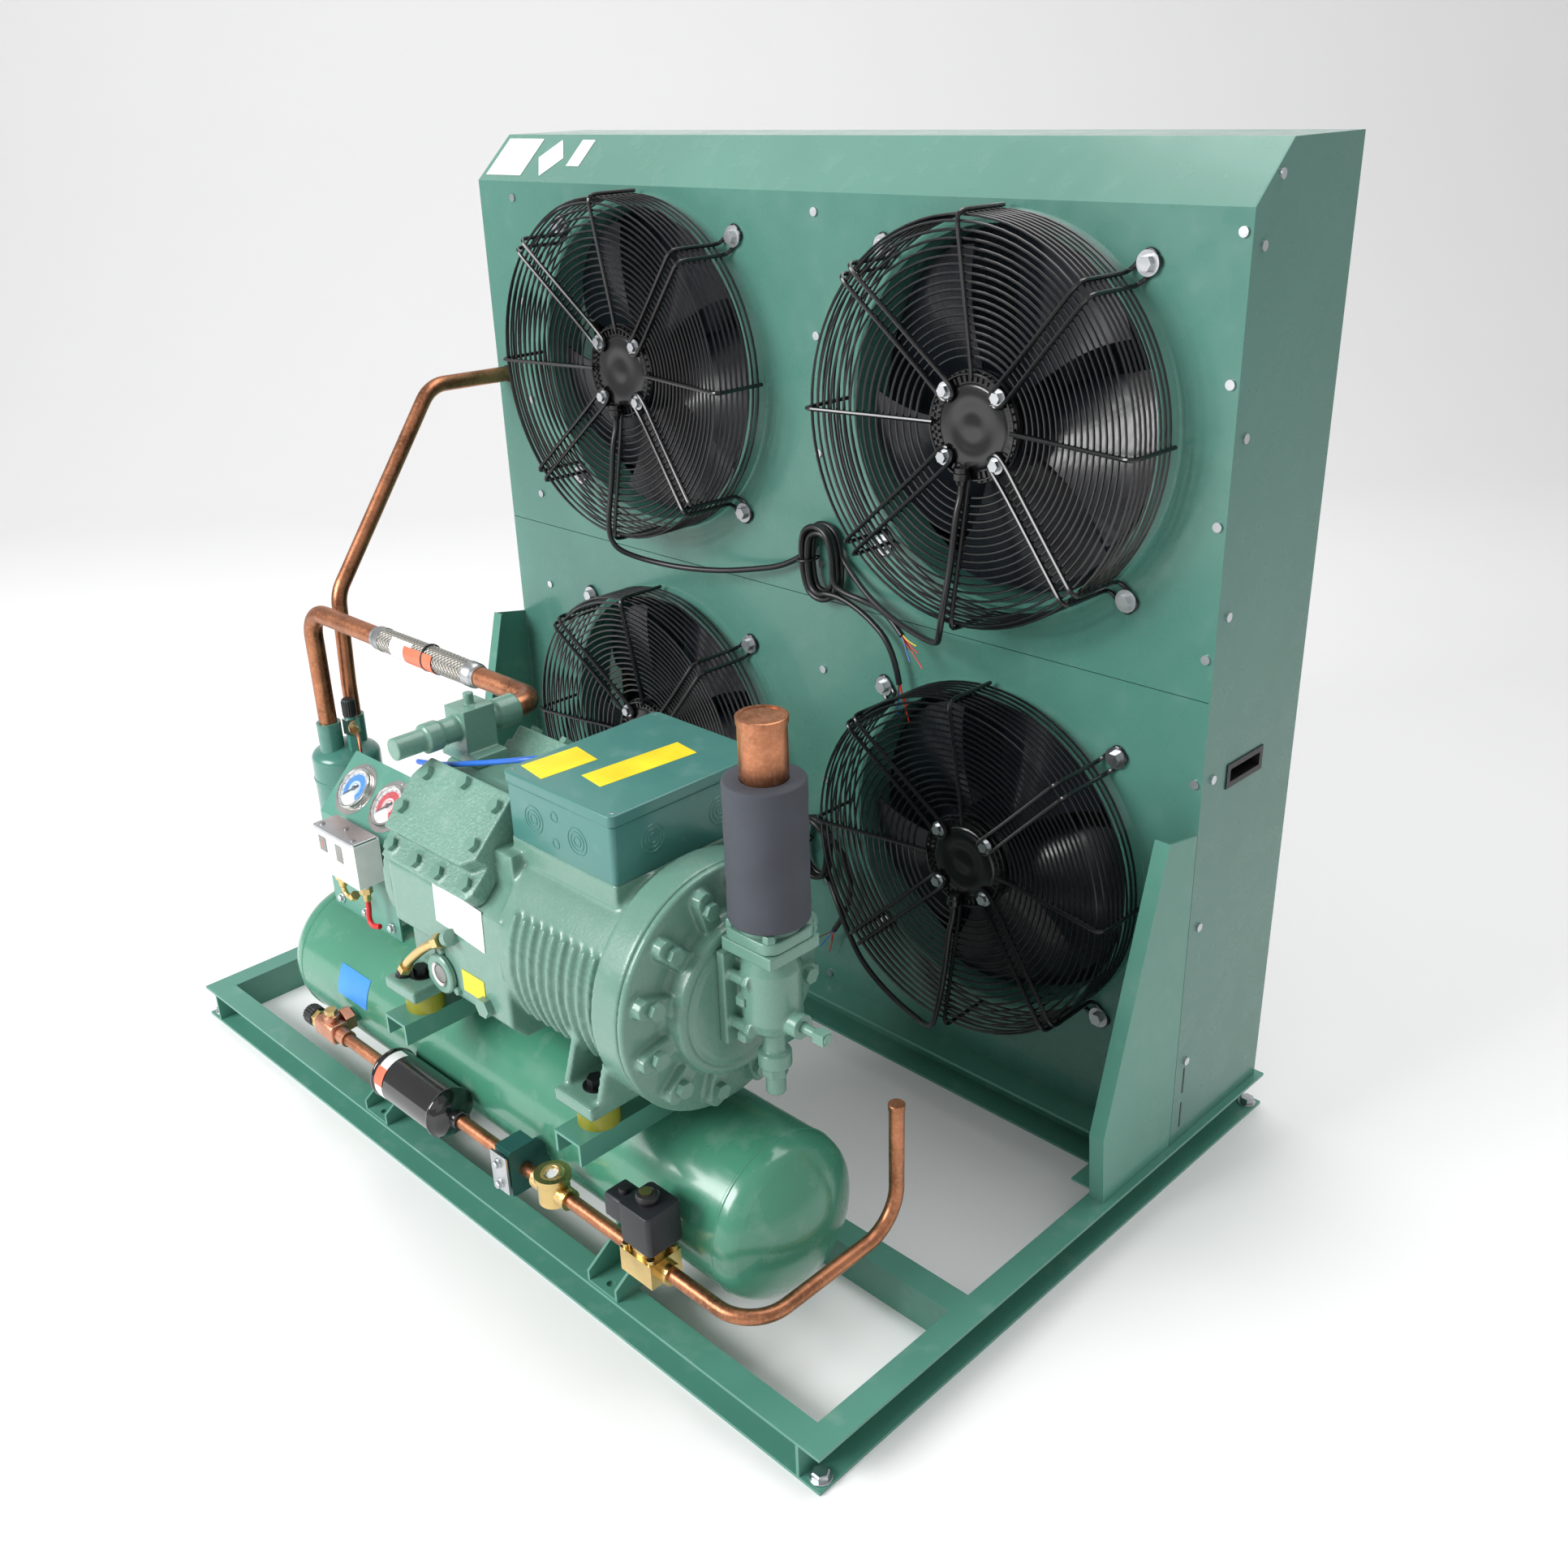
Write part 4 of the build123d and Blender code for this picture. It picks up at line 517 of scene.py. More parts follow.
def casting(name, sources, voxel, material, fillers=(), soften=2, keep=1.0, melted=True):
    # a cast piece: the solid and its bosses melted into one skin with rounded corners
    work = bmesh.new()
    for source in sources if melted else ():
        work.from_mesh(nodes[source].data)
    bmesh.ops.remove_doubles(work, verts=work.verts, dist=1e-6)
    mesh = bpy.data.meshes.new(name)
    for points, faces, _ in fillers:
        extra = bpy.data.meshes.new("filler")
        extra.from_pydata((points / 1000).tolist(), [], faces)
        settle(extra, 30)
        work.from_mesh(extra)
        bpy.data.meshes.remove(extra)
    work.to_mesh(mesh)
    work.free()
    made = bpy.data.objects.new(name, mesh)
    collection.objects.link(made)
    melt = made.modifiers.new("melt", "REMESH")
    melt.mode = "VOXEL"
    melt.voxel_size = voxel
    melt.use_smooth_shade = True
    ease = made.modifiers.new("ease", "SMOOTH")
    ease.factor = 0.5
    ease.iterations = soften
    if keep < 1:
        thin = made.modifiers.new("thin", "DECIMATE")
        thin.ratio = keep
    evaluated(made)
    made.data.materials.clear()
    made.data.materials.append(look[material])
    made.data.polygons.foreach_set("material_index", [0] * len(made.data.polygons))
    made.data.polygons.foreach_set("use_smooth", [True] * len(made.data.polygons))
    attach(made, "frame")
    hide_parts(*sources)
    print("  casting", name, len(made.data.polygons))
    return made


def dress(material, *names):
    # gives CAD nodes their material
    for name in names:
        data = nodes[name].data
        data.materials.clear()
        data.materials.append(look[material])


dress("frameGreen", "side_rails", "end_rails", "cross_beams", "gussets", "mount_brackets", "receiver_feet",
    "gauge_panel")
dress("caseGreen", "side_panels", "fan_panel_lower", "fan_panel_upper")
# the hood gets the lighter copy of the case paint, its painted sheen
dress("hoodGreen", "top_hood")
dress("tankGreen", "receiver")
dress("separatorGreen", "oil_separator")
dress("castGreen", "compressor_bolts", "suction_valve_spindle")
dress("copper", "coil_tubes", "discharge_pipes", "liquid_pipes")
dress("brass", "liquid_sight_glass", "solenoid_valve")
dress("zinc", "casing_fasteners")
dress("darkSteel", "stand_bolts")
dress("steel", "crankshaft", "motor_rotor")
dress("castAlloy", "pistons")
dress("winding", "motor_stator")
dress("fins", "coil_fins")
dress("rubberMount", "rubber_mounts")
dress("capBlack", "pocket_handles")
dress("clampTeal", "pipe_clamp")
dress("coverWhite", "pressure_control")
dress("chrome", "pressure_gauges")
dress("glass", "gauge_glasses")
dress("printInk", "gauge_needle_low", "gauge_needle_high")
print("stage: nodes dressed")


# placing tools, in millimetres from here on
up, down = (0, 0, 1), (0, 0, -1)
right, left, front = (1, 0, 0), (-1, 0, 0), (0, -1, 0)


def span(name):
    # lowest and highest corner of a node
    low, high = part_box(name)
    return np.array(low) * 1000, np.array(high) * 1000


def middle(name):
    # centre of a node's box
    low, high = span(name)
    return (low + high) / 2


def turned(shape, centre, degrees, axis=1):
    # the shape turned about a line through the centre, along one of the three axes
    first, second = [k for k in range(3) if k != axis]
    angle = math.radians(degrees)
    points = shape[0] - np.array(centre)
    out = points.copy()
    out[:, first] = points[:, first] * math.cos(angle) - points[:, second] * math.sin(angle)
    out[:, second] = points[:, first] * math.sin(angle) + points[:, second] * math.cos(angle)
    return out + np.array(centre), shape[1], shape[2]


def clad(material, shapes):
    # gives several shapes the same material
    return [(shape, material) for shape in shapes]


def ringLathe(profile, origin, direction, sides=48):
    # closed profile turned round: the last point joins the first
    points, _, uv = lathe(profile, origin, direction, sides)
    return points, gridFaces(len(profile), sides, wrapRows=True), uv


def around(count, start=0):
    # angles evenly round a circle, in radians, from a start in degrees
    return [math.radians(start + 360 / count * k) for k in range(count)]


def bolt(origin, direction, across=17, height=8, washer=0):
    # hexagon head with a chamfered crown, on a washer where one is given
    across = across / math.sqrt(3)
    axis, side, _ = axes(direction)
    base = np.array(origin, float)
    shapes = []
    if washer:
        shapes.append(lathe([(0, 0), (washer, 0), (washer, 1.6), (washer - 0.6, 2.2), (0, 2.2)], base,
                direction, 24))
        base = base + axis * 2.2
    shapes.append(lathe([(0, 0), (across, 0), (across, height * 0.82), (across * 0.84, height),
            (0, height)], base, direction, 6, side))
    return shapes


def knurl(origin, direction, radius, height, teeth=24):
    # knurled cap: the radius rises and falls round the rim
    axis, side, other = axes(direction)
    angle = np.linspace(0, 2 * np.pi, teeth * 4, endpoint=False)
    wave = 1 + 0.045 * np.sign(np.sin(angle * teeth))
    even = np.ones(len(angle))
    ray = np.cos(angle)[:, None] * side + np.sin(angle)[:, None] * other
    rows = [(0.0, 0.0), (0.94, 0.0), (1, 0.08), (1, 0.86), (0.86, 1.0), (0.0, 1.0)]
    start = np.array(origin)
    points = [start + axis * (h * height) + (radius * r * (wave if r > 0.95 else even))[:, None] * ray
        for r, h in rows]
    return np.vstack(points), gridFaces(len(rows), len(angle)), None


# fan cables: each leaves its motor, runs in front of the guard and ends in a tied hank
fanNames = ["lower_left", "upper_left", "lower_right", "upper_right"]
fanColumns = {"left": -299.0, "right": 388.0}
fanRows = {"lower": 420.0, "upper": 1036.0}
cable = {"diameter": 9.0, "glandX": -8.0, "glandY": 167.5, "glandEnd": 72.0}


def hankTurns(centre, lean, radius, start, sweepAngle, depth):
    # turns of a hank: a circle drawn out upright into a racetrack, stepping forward as it turns
    count = int(abs(sweepAngle) / 360 * 14) + 1
    step = np.linspace(0, 1, count)
    angle = np.radians(start + sweepAngle * step)
    loose = 1 + 0.05 * np.sin(angle * 0.63 + 1.1)
    x = radius * loose * np.cos(angle)
    z = radius * loose * np.sin(angle) + 22 * np.clip(np.sin(angle) * 2.2, -1, 1)
    tilt = math.radians(lean)
    return np.stack([centre[0] + x * math.cos(tilt) - z * math.sin(tilt),
            depth[0] + (depth[1] - depth[0]) * step,
            centre[1] + x * math.sin(tilt) + z * math.cos(tilt)], 1)


def motorLead(column, row, shift):
    # first points of a cable: straight down out of the gland, then forward to the guard's front
    x, z = fanColumns[column], fanRows[row]
    return [(x + cable["glandX"], cable["glandY"], z - cable["glandEnd"]),
        (x + cable["glandX"], cable["glandY"], z - 86),
        (x + cable["glandX"], 158, z - 106), (x - 9, 150, z - 172), (x + shift[0], 136, z - 230),
        (x + shift[1], shift[2], z + shift[3])]


upperHank, lowerHank = (78.0, 792.0), (50.0, 312.0)
cableRoutes = {
    "cable_upper_left": motorLead("left", "upper", (-9, -3, 136, -268)) + [
        (-275, 162, 748), (-205, 190, 738), (-125, 206, 744), (-60, 216, 757), (0, 224, 772)]
    + hankTurns(upperHank, 4, 33, 172, -910, (234, 211)).tolist()
    + [(128, 214, 758), (160, 220, 752), (214, 212, 748), (250, 204, 722)],
    "cable_upper_right": motorLead("right", "upper", (-10, -16, 136, -268)) + [
        (350, 160, 744), (298, 188, 735), (240, 203, 741), (190, 212, 756), (150, 220, 778)]
    + hankTurns(upperHank, 4, 23, 15, 645, (233, 213)).tolist()
    + [(122, 218, 748), (168, 221, 730), (222, 218, 694), (232, 219, 640)],
    "cable_lower_right": motorLead("right", "lower", (-10, -22, 138, -270)) + [
        (328, 160, 132), (250, 180, 134), (180, 192, 160), (135, 204, 200), (100, 216, 240)]
    + hankTurns(lowerHank, -2, 31, -58, -980, (235, 210)).tolist()
    + [(98, 216, 345), (124, 224, 306), (128, 224, 250), (110, 224, 206), (88, 224, 172)], }
wireEnds = {"cable_upper_left": (250, 204, 722), "cable_upper_right": (232, 219, 640),
    "cable_lower_right": (88, 224, 172)}
wireColours = ["wireRed", "wireYellow", "wireBrown", "hoseBlue", "wireRed"]


def splineOf(name, points, radius):
    # one open NURBS spline with the route's points as its controls
    data = bpy.data.curves.new(name, "CURVE")
    data.dimensions = "3D"
    spline = data.splines.new("NURBS")
    spline.points.add(len(points) - 1)
    spline.points.foreach_set("co", np.hstack([np.array(points) / 1000, np.ones((len(points), 1))]).ravel())
    spline.order_u = 3
    spline.use_endpoint_u = True
    spline.resolution_u = 6
    # the thickness sits in the points, so that the curve's box stays tight
    spline.points.foreach_set("radius", np.full(len(points), radius / 1000))
    data.bevel_depth = 1.0
    data.bevel_resolution = 3
    data.use_fill_caps = True
    data.materials.append(look["cableBlack"])
    made = bpy.data.objects.new(name, data)
    collection.objects.link(made)
    return made


def splineLength(made):
    # adds up the steps of the curve with its bevel taken off
    depth = made.data.bevel_depth
    made.data.bevel_depth = 0
    bpy.context.view_layer.update()
    mesh = bpy.data.meshes.new_from_object(made.evaluated_get(bpy.context.evaluated_depsgraph_get()))
    line = np.zeros(len(mesh.vertices) * 3)
    mesh.vertices.foreach_get("co", line)
    made.data.bevel_depth = depth
    line = line.reshape(-1, 3)
    return float(np.linalg.norm(np.diff(line, axis=0), axis=1).sum()), line


for name, route in cableRoutes.items():
    lead = splineOf("lead_" + name, route, cable["diameter"] / 2)
    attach(lead, "frame")
    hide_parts(name, "cable_hanks")
    length, line = splineLength(lead)
    end = np.array(wireEnds[name], float)
    heading = end - np.array(route[-2], float)
    heading /= np.linalg.norm(heading)
    wires = []
    for k, colour in enumerate(wireColours):
        fan = np.array([math.cos(k * 1.3), 0.25 * math.sin(k * 2.1), math.sin(k * 1.3)])
        path = np.array([end - heading * 4 + fan * 1.8, end + heading * 8 + fan * 2.2,
                end + heading * 20 + fan * (5 + k), end + heading * (30 + 3 * k) + fan * (10 + 1.5 * k)])
        wires.append((sweep(softPath(path), 1.0, 8), colour))
    ends = piece("wires_" + name, wires)
    exitPoint = tuple(c / 1000 for c in route[0])
    print("  cable", name, round(length, 3))

ties = []
for centre, height, reach in ((upperHank, 0, 36), (lowerHank, 4, 34)):
    loop = [(centre[0] - reach - 6, 206, centre[1] + height), (centre[0] - 14, 206, centre[1] + height + 2),
        (centre[0] - 14, 240, centre[1] + height + 2), (centre[0] - reach - 6, 240, centre[1] + height)]
    ties.append((sweep(softPath(loop, 5, closed=True), 1.7, 8, closed=True), "capBlack"))
piece("hankTies", ties)
print("stage: cables")


# fans
guard = {"rings": 17, "rimRings": 8, "ringWire": 1.75, "armWire": 3.0, "rim": 253.5, "hubFace": 176,
    "dish": 31 / 170}


def face(r):
    # dished face of the guard: flat at the hub, coming forward towards the rim
    return guard["hubFace"] - (r - 72) * guard["dish"]


def circle(centre, radius, y):
    # 72 points round an upright circle facing front
    angle = np.linspace(0, 2 * np.pi, 72, endpoint=False)
    return np.stack([centre[0] + radius * np.cos(angle), np.full(72, y),
            centre[2] + radius * np.sin(angle)], 1)


def guardShapes(centre):
    # face rings, rim rings, four double arms with feet and four single spokes, a ring at the hub
    rings = [circle(centre, r, face(r)) for r in np.linspace(88, 247, guard["rings"])]
    rings += [circle(centre, guard["rim"], y) for y in np.linspace(152, 226, guard["rimRings"])]
    shapes = [sweep(ring, guard["ringWire"], 6, closed=True) for ring in rings]
    half = [(46, 11, 172.8), (72, 11, 172), (112, 10, 165.0), (236, 10, 142.4), (252, 10, 140.2),
        (258.5, 10, 146),
        (258.5, 10, 170), (258.5, 10, 218), (259, 10, 232), (268, 10, 238), (284, 11.5, 238.2),
        (298, 11.5, 238.2)]
    loop = half + [(r, -t, y) for r, t, y in reversed(half)]
    path = softPath(loop, 5, closed=True)
    spoke = softPath([(62, 0, 173.4), (90, 0, 169.2), (236, 0, 142.6), (252, 0, 140.2), (258.5, 0, 147),
            (258.5, 0, 180), (258.5, 0, 229)], 5)
    for turn, a in enumerate(around(8)):
        source = path if turn % 2 else spoke
        placed = np.stack([centre[0] + source[:, 0] * math.cos(a) - source[:, 1] * math.sin(a),
                source[:, 2], centre[2] + source[:, 0] * math.sin(a) + source[:, 1] * math.cos(a)], 1)
        shapes.append(sweep(placed, guard["armWire"], 8, closed=bool(turn % 2)))
    return shapes + [sweep(circle(centre, 66, 174.2), 1.6, 6, closed=True)]


motor = {"ribs": 44}


def motorShapes(centre):
    # cap with a stepped face and a ribbed rim, on the barrel that carries the impeller
    origin = (centre[0], 0, centre[2])
    profile = [(0, -281), (7.9, -281), (7.9, -258), (46, -258), (46, -188), (70, -188), (71.5, -186.5),
        (71.5, -181),
        (70, -179), (54, -179), (52, -177.4), (50, -176.8), (30, -176.4), (28, -177), (12, -177),
        (10, -176.6), (0, -176.6)]
    shapes = [lathe(profile, origin, front, 72)]
    for k in range(motor["ribs"]):
        rib = block((centre[0] + 56, 176.4, centre[2] - 1.6), (centre[0] + 69.5, 179.5, centre[2] + 1.6))
        shapes.append(turned(rib, centre, 360 / motor["ribs"] * k + 4))
    gland = [(0, 50), (9.5, 50), (9.5, 56), (11, 57), (11, 65), (8.5, 66), (7, 72), (0, 72)]
    shapes.append(lathe(gland, (centre[0] + cable["glandX"], cable["glandY"], centre[2]), down, 20))
    return shapes


blade = {"count": 5, "hub": 66.0, "tip": 224.0, "thickness": 2.4, "depth": 58.0}


def bladeShape(centre, turn):
    # radius runs from hub to tip, angle from edge to edge, depth follows the angle with a slight camber
    s, t = np.meshgrid(np.linspace(0, 1, 15), np.linspace(0, 1, 19), indexing="ij")
    r = blade["hub"] + (blade["tip"] - blade["hub"]) * s
    lead = -34 - 10 * s ** 1.5
    trail = 32 - 30 * s + 16 * s ** 2
    angle = np.radians(turn + lead + (trail - lead) * t)
    r = r * (1 - 0.035 * s * (2 * t - 1) ** 4)
    y = 262 + (t - 0.5) * (blade["depth"] - 12 * s) - 7 * np.sin(np.pi * t) + 3 * s
    points = np.stack([centre[0] + r * np.cos(angle), y, centre[2] + r * np.sin(angle)], -1).reshape(-1, 3)
    return points, gridFaces(15, 19, wrapColumns=False), None


for name in fanNames:
    row, column = name.split("_")
    centre = np.array([fanColumns[column], 0, fanRows[row]])
    piece("guard_" + name, clad("wireBlack", guardShapes(centre)), replace=["fan_guards"])
    piece("motor_" + name, clad("motorBlack", motorShapes(centre)),
        replace=["fan_motors"], crease=30)
    blades = piece("blades_" + name, [(bladeShape(centre, 72 * k + 4), "bladeBlack")
            for k in range(blade["count"])],
        body="impeller_" + name, replace=["impeller_" + name], crease=60)
    wall = blades.modifiers.new("wall", "SOLIDIFY")
    wall.thickness = blade["thickness"] / 1000
    wall.offset = 0
    cup = [(52, -197), (66, -197), (68, -199), (68, -282), (66, -284), (8.2, -284), (8.2, -264), (16, -264),
        (16, -278), (52, -278)]
    piece("hub_" + name, [(ringLathe(cup, (centre[0], 0, centre[2]), front, 48), "bladeBlack")],
        body="impeller_" + name, replace=["impeller_" + name])
print("stage: fans")


# terminal box
boxLow, boxHigh = span("terminal_box")
lidLow, lidHigh = span("terminal_box_lid")
knockouts = {"front": [(216, 655, 17), (298, 653, 17), (257, 671, 6), (256, 636, 6)],
    "side": [(-363, 657, 17), (-258, 655, 17)]}


def knockout(origin, direction, radius):
    # pressed rings: each a low rounded ridge standing on the wall
    return [ringLathe([(r - 1.3, -0.3), (r - 0.6, 0.8), (r + 0.6, 0.8), (r + 1.3, -0.3)], origin,
            direction, 36) for r in ((radius, radius * 0.68, radius * 0.36) if radius > 10 else (radius,))]


boxParts = [(softBlock(boxLow, boxHigh - (0, 0, 0.5), 7, 1.0), "boxGreen"),
    (softBlock(lidLow, lidHigh, 8, 2.2), "boxGreen"),
    (softBlock(boxLow + (3, 3, -1.2), (boxHigh[0] - 3, boxHigh[1] - 3, boxLow[2] + 1), 6, 0.4),
        "boxGreen")]
for x, z, r in knockouts["front"]:
    boxParts += clad("boxGreen", knockout((x, boxLow[1], z), front, r))
for y, z, r in knockouts["side"]:
    boxParts += clad("boxGreen", knockout((boxHigh[0], y, z), right, r))
piece("terminalBoxSkin", boxParts, replace=["terminal_box", "terminal_box_lid"])
screwDome = [(0, 0), (4.6, 0), (4.6, 0.8), (3.6, 2.2), (1.6, 2.8), (0, 2.8)]
top = lidHigh[2] - 2.6
lidScrews = [(lidHigh[0] - 9, lidLow[1] + 10), (lidHigh[0] - 9, lidHigh[1] - 10),
    (lidLow[0] + 9, lidHigh[1] - 10), (lidLow[0] + 9, lidLow[1] + 10)]
piece("lidScrews", [(lathe(screwDome, (x, y, top), up, 20), "zinc") for x, y in lidScrews])
labelZ = lidHigh[2] - 0.05
lidLabels = [[(172, -402), (222, -410), (228, -330), (178, -322)],
    [(250, -372), (292, -378), (304, -238), (262, -232)]]
piece("lidLabels", [(plate([(x, y, labelZ) for x, y in label], 0.35), "labelYellow")
        for label in lidLabels])
print("stage: terminal box")


# compressor castings
axisY, axisZ = -333.0, 476.0
housingFill = [lathe([(0, -70), (100, -70), (100, 180), (128, 205), (128, 431), (0, 431)],
        (0, axisY, axisZ), right, 48),
    block((-56, -440, 366), (186, -226, 600)), block((169, -418, 560), (359, -186, 617))]
casting("housingCasting", ["compressor_housing"], 0.0028, "castGreen", housingFill, soften=3,
    keep=0.55)
bossFill = [lathe([(0, 430.5), (157.5, 430.5), (158, 431), (158, 437), (155, 440), (148, 441), (106, 443),
        (101, 447), (99, 462),
        (98, 468), (94, 470.5), (88, 470.8), (86, 469.4), (83, 470.8), (78, 473), (0, 473)],
        (0, axisY, axisZ), right, 96)]
hub = np.array([0, axisY, axisZ])
corner = [(96, -13), (139, -13), (147, -9), (150, 0), (147, 9), (139, 13), (96, 13)]
for a in around(12, 15):
    ray, side = np.array([0, math.cos(a), math.sin(a)]), np.array([0, -math.sin(a), math.cos(a)])
    low = np.array([hub + ray * r + side * t * 1.12 + (432, 0, 0) for r, t in corner])
    high = np.array([hub + ray * (r - 1.5) + side * t * 0.92 + (455.5, 0, 0) for r, t in corner])
    bossFill.append(prism(low, high))
casting("endCoverCasting", ["motor_end_cover"], 0.0018, "castGreen", bossFill, soften=3,
    keep=0.5, melted=False)
casting("crankcaseCoverCasting", ["crankcase_cover"], 0.0024, "castGreen", (), soften=2)
slant = math.sqrt(0.5)
headFill = []
for sign in (-1, 1):
    along = (0, sign * slant, slant)
    for u, v in ((-33, -42), (25, -46), (75, -46), (132, -42)):
        y = axisY + sign * (slant * 156 - slant * v)
        z = axisZ + slant * 156 + slant * v
        origin = np.array([u, y, z]) - np.array(along) * 10
        headFill.append(lathe([(0, 0), (15, 0), (14, 10.5), (12, 11.5), (0, 11.5)], origin, along, 20))
casting("headCastings", ["cylinder_heads"], 0.0022, "roughCastGreen", headFill, soften=3,
    keep=0.7)
casting("suctionValveCasting", ["suction_valve"], 0.0014, "castGreen", (), soften=2,
    keep=0.7)
casting("dischargeValveCasting", ["discharge_valve"], 0.0014, "castGreen", (), soften=2,
    keep=0.7)
trim = [(knurl((519, axisY, 421), down, 18.5, 17, 22), "castGreen"),
    (hexBar((519, axisY, 404), down, 27, 12), "castGreen")]
for y in (-362, -304):
    for z in (500, 452):
        trim += clad("castGreen", bolt((498, y, z), right, 17, 12))
piece("suctionValveTrim", trim)
print("stage: castings")


# compressor plates, sight glass and front fitting
caseY = -470.0
caseLabels = [("labelWhite", 0.9, [(45, 474), (150, 466), (153, 526), (48, 534)]),
    ("labelYellow", 0.8, [(90, 388), (138, 388), (138, 419), (90, 419)])]
platePieces = [(plate([(x, caseY - 0.2, z) for x, z in corners], thickness), colour)
    for colour, thickness, corners in caseLabels]
piece("casePlates", platePieces)
sight = middle("oil_sight_glass")
sightParts = [(ringLathe([(17, -2), (28, -2), (28, 3), (26, 5), (18, 5), (17, 3)],
        (sight[0], caseY - 4, sight[2]), front, 40), "castGreen"),
    (ringLathe([(13, 0), (17.5, 0), (17.5, 4), (13, 3)], (sight[0], caseY - 5, sight[2]), front,
        40), "chrome"),
    (lathe([(0, 0), (13.5, 0), (12, 2.2), (6, 3.2), (0, 3.4)], (sight[0], caseY - 5, sight[2]),
        front, 32), "windowGrey")]
for a in around(3, 90):
    sightParts += clad("castGreen",
        bolt((sight[0] + 33 * math.cos(a), caseY + 1, sight[2] + 33 * math.sin(a)), front, 11, 6))
piece("oilSightBezel", sightParts, replace=["oil_sight_glass"])
fitting = [(lathe([(0, 0), (11, 0), (11, 12), (7, 13), (7, 20), (0, 20)], (87, -478, 468),
        (-0.87, 0, -0.5), 20), "castGreen"), (hexBar((66, -480, 456), (-0.87, 0, -0.5), 18, 16), "brass"),
    (sweep(softPath([(58, -481, 451), (30, -484, 434), (0, -487, 408), (-14, -488, 394),
        (-30, -488, 376)]), 6.5, 14), "brass"),
    (hexBar((-18, -488, 388), (-0.62, 0, -0.78), 17, 12), "brass"),
    (knurl((-28, -488, 376), (-0.55, 0, -0.83), 8.5, 40, 14), "capBlack")]
piece("frontFitting", fitting)
piece("blueLine", [(sweep(softPath([(-60, -372, 628), (-118, -380, 620), (-52, -381, 633), (46, -381, 664),
        (100, -380, 682), (150, -372, 697), (164, -340, 694)]), 3.6, 12), "hoseBlue")])
print("stage: compressor details")


# gauges and pressure control
gaugeX = {"dialLow": -373.0, "dialHigh": -280.0}
gaugeOrigin = (-334.5, 482.5)


def onGauge(x, u, v, level):
    # point of the slanting gauge face: u to the right, v up the slope, level out of it
    return (x + u, gaugeOrigin[0] + slant * v - slant * level, gaugeOrigin[1] + slant * v + slant * level)


gaugeParts, bezelParts = [], []
for material, x in gaugeX.items():
    ring = np.linspace(0, 2 * np.pi, 48, endpoint=False)
    points = np.array([onGauge(x, 29.2 * math.cos(a), 29.2 * math.sin(a), 3.25)
            for a in ring] + [onGauge(x, 0, 0, 3.25)])
    uv = np.vstack([np.stack([0.5 + 0.5 * np.cos(ring), 0.5 + 0.5 * np.sin(ring)], 1), [[0.5, 0.5]]])
    gaugeParts.append(((points, [[k, (k + 1) % 48, 48] for k in range(48)], uv), material))
    out = (0, -slant, slant)
    bezelParts.append((ringLathe([(29.6, 3), (33.4, 0.2), (34, 3), (33.6, 7), (32, 9), (30.4, 9),
            (29.6, 7.5)], onGauge(x, 0, 0, 0), out, 64), "chrome"))
    bezelParts.append((ringLathe([(33, -0.4), (42, -0.4), (42, 0.9), (33, 0.9)], onGauge(x, 0, 0, 0), out,
            64), "chrome"))
    for a in around(3, 90):
        bezelParts.append((lathe([(0, 0), (2.6, 0), (2.2, 1.4), (0, 1.8)],
                onGauge(x, 38 * math.cos(a), 38 * math.sin(a), 0.8), out, 12), "zinc"))
piece("gaugeDials", gaugeParts)
piece("gaugeBezels", bezelParts)
controlLow, controlHigh = span("pressure_control")
controlFront = controlLow[1]
controlParts = [(softBlock((controlLow[0] + 1, controlFront - 0.6, 456), (controlHigh[0] - 1, -379, 462),
        3, 1.0), "zinc"),
    (softBlock((-346, controlFront - 0.8, 424), (-326, controlFront + 2, 448), 1.5, 0.3,
        upright=1), "windowGrey"),
    (softBlock((-300, controlFront - 0.8, 420), (-282, controlFront + 2, 448), 1.5, 0.3,
        upright=1), "windowGrey"),
    (softBlock((-336.6, controlFront - 1.1, 428), (-335.4, controlFront + 1, 444), 0.4, 0.1,
        upright=1), "labelOrange")]
for x, y in ((-348, -410), (-304, -396), (-262, -410)):
    controlParts.append((lathe([(0, 0), (4.4, 0), (4, 2), (0, 2.6)], (x, y, 461.8), up, 16), "steel"))
for x in (-337, -269):
    controlParts += [(hexBar((x, -399, 378), down, 17, 9), "brass"),
        (lathe([(0, 0), (6, 0), (6, 12), (4.5, 14), (0, 14)], (x, -399, 369), down, 18),
            "brass")]
controlParts += [(sweep(softPath([(-337, -399, 360), (-337, -399, 350), (-331, -399, 343),
        (-318, -399, 342), (-306, -399, 350)]), 4, 10), "brass"),
    (hexBar((-312, -399, 346), (0.8, 0, 0.6), 13, 10), "brass"),
    (sweep(softPath([(-269, -399, 358), (-269, -399, 342), (-272, -400, 326),
        (-262, -402, 316), (-246, -398, 320)]), 4.2, 10), "wireRed")]
piece("pressureControlDetails", controlParts)
for name, x, z in (("Left", -400, 302), ("Middle", -330, 302), ("Right", -258, 302)):
    piece("panelBolt" + name, clad("zinc", bolt((x, -372, z), front, 10, 5, 8)))
print("stage: gauges")


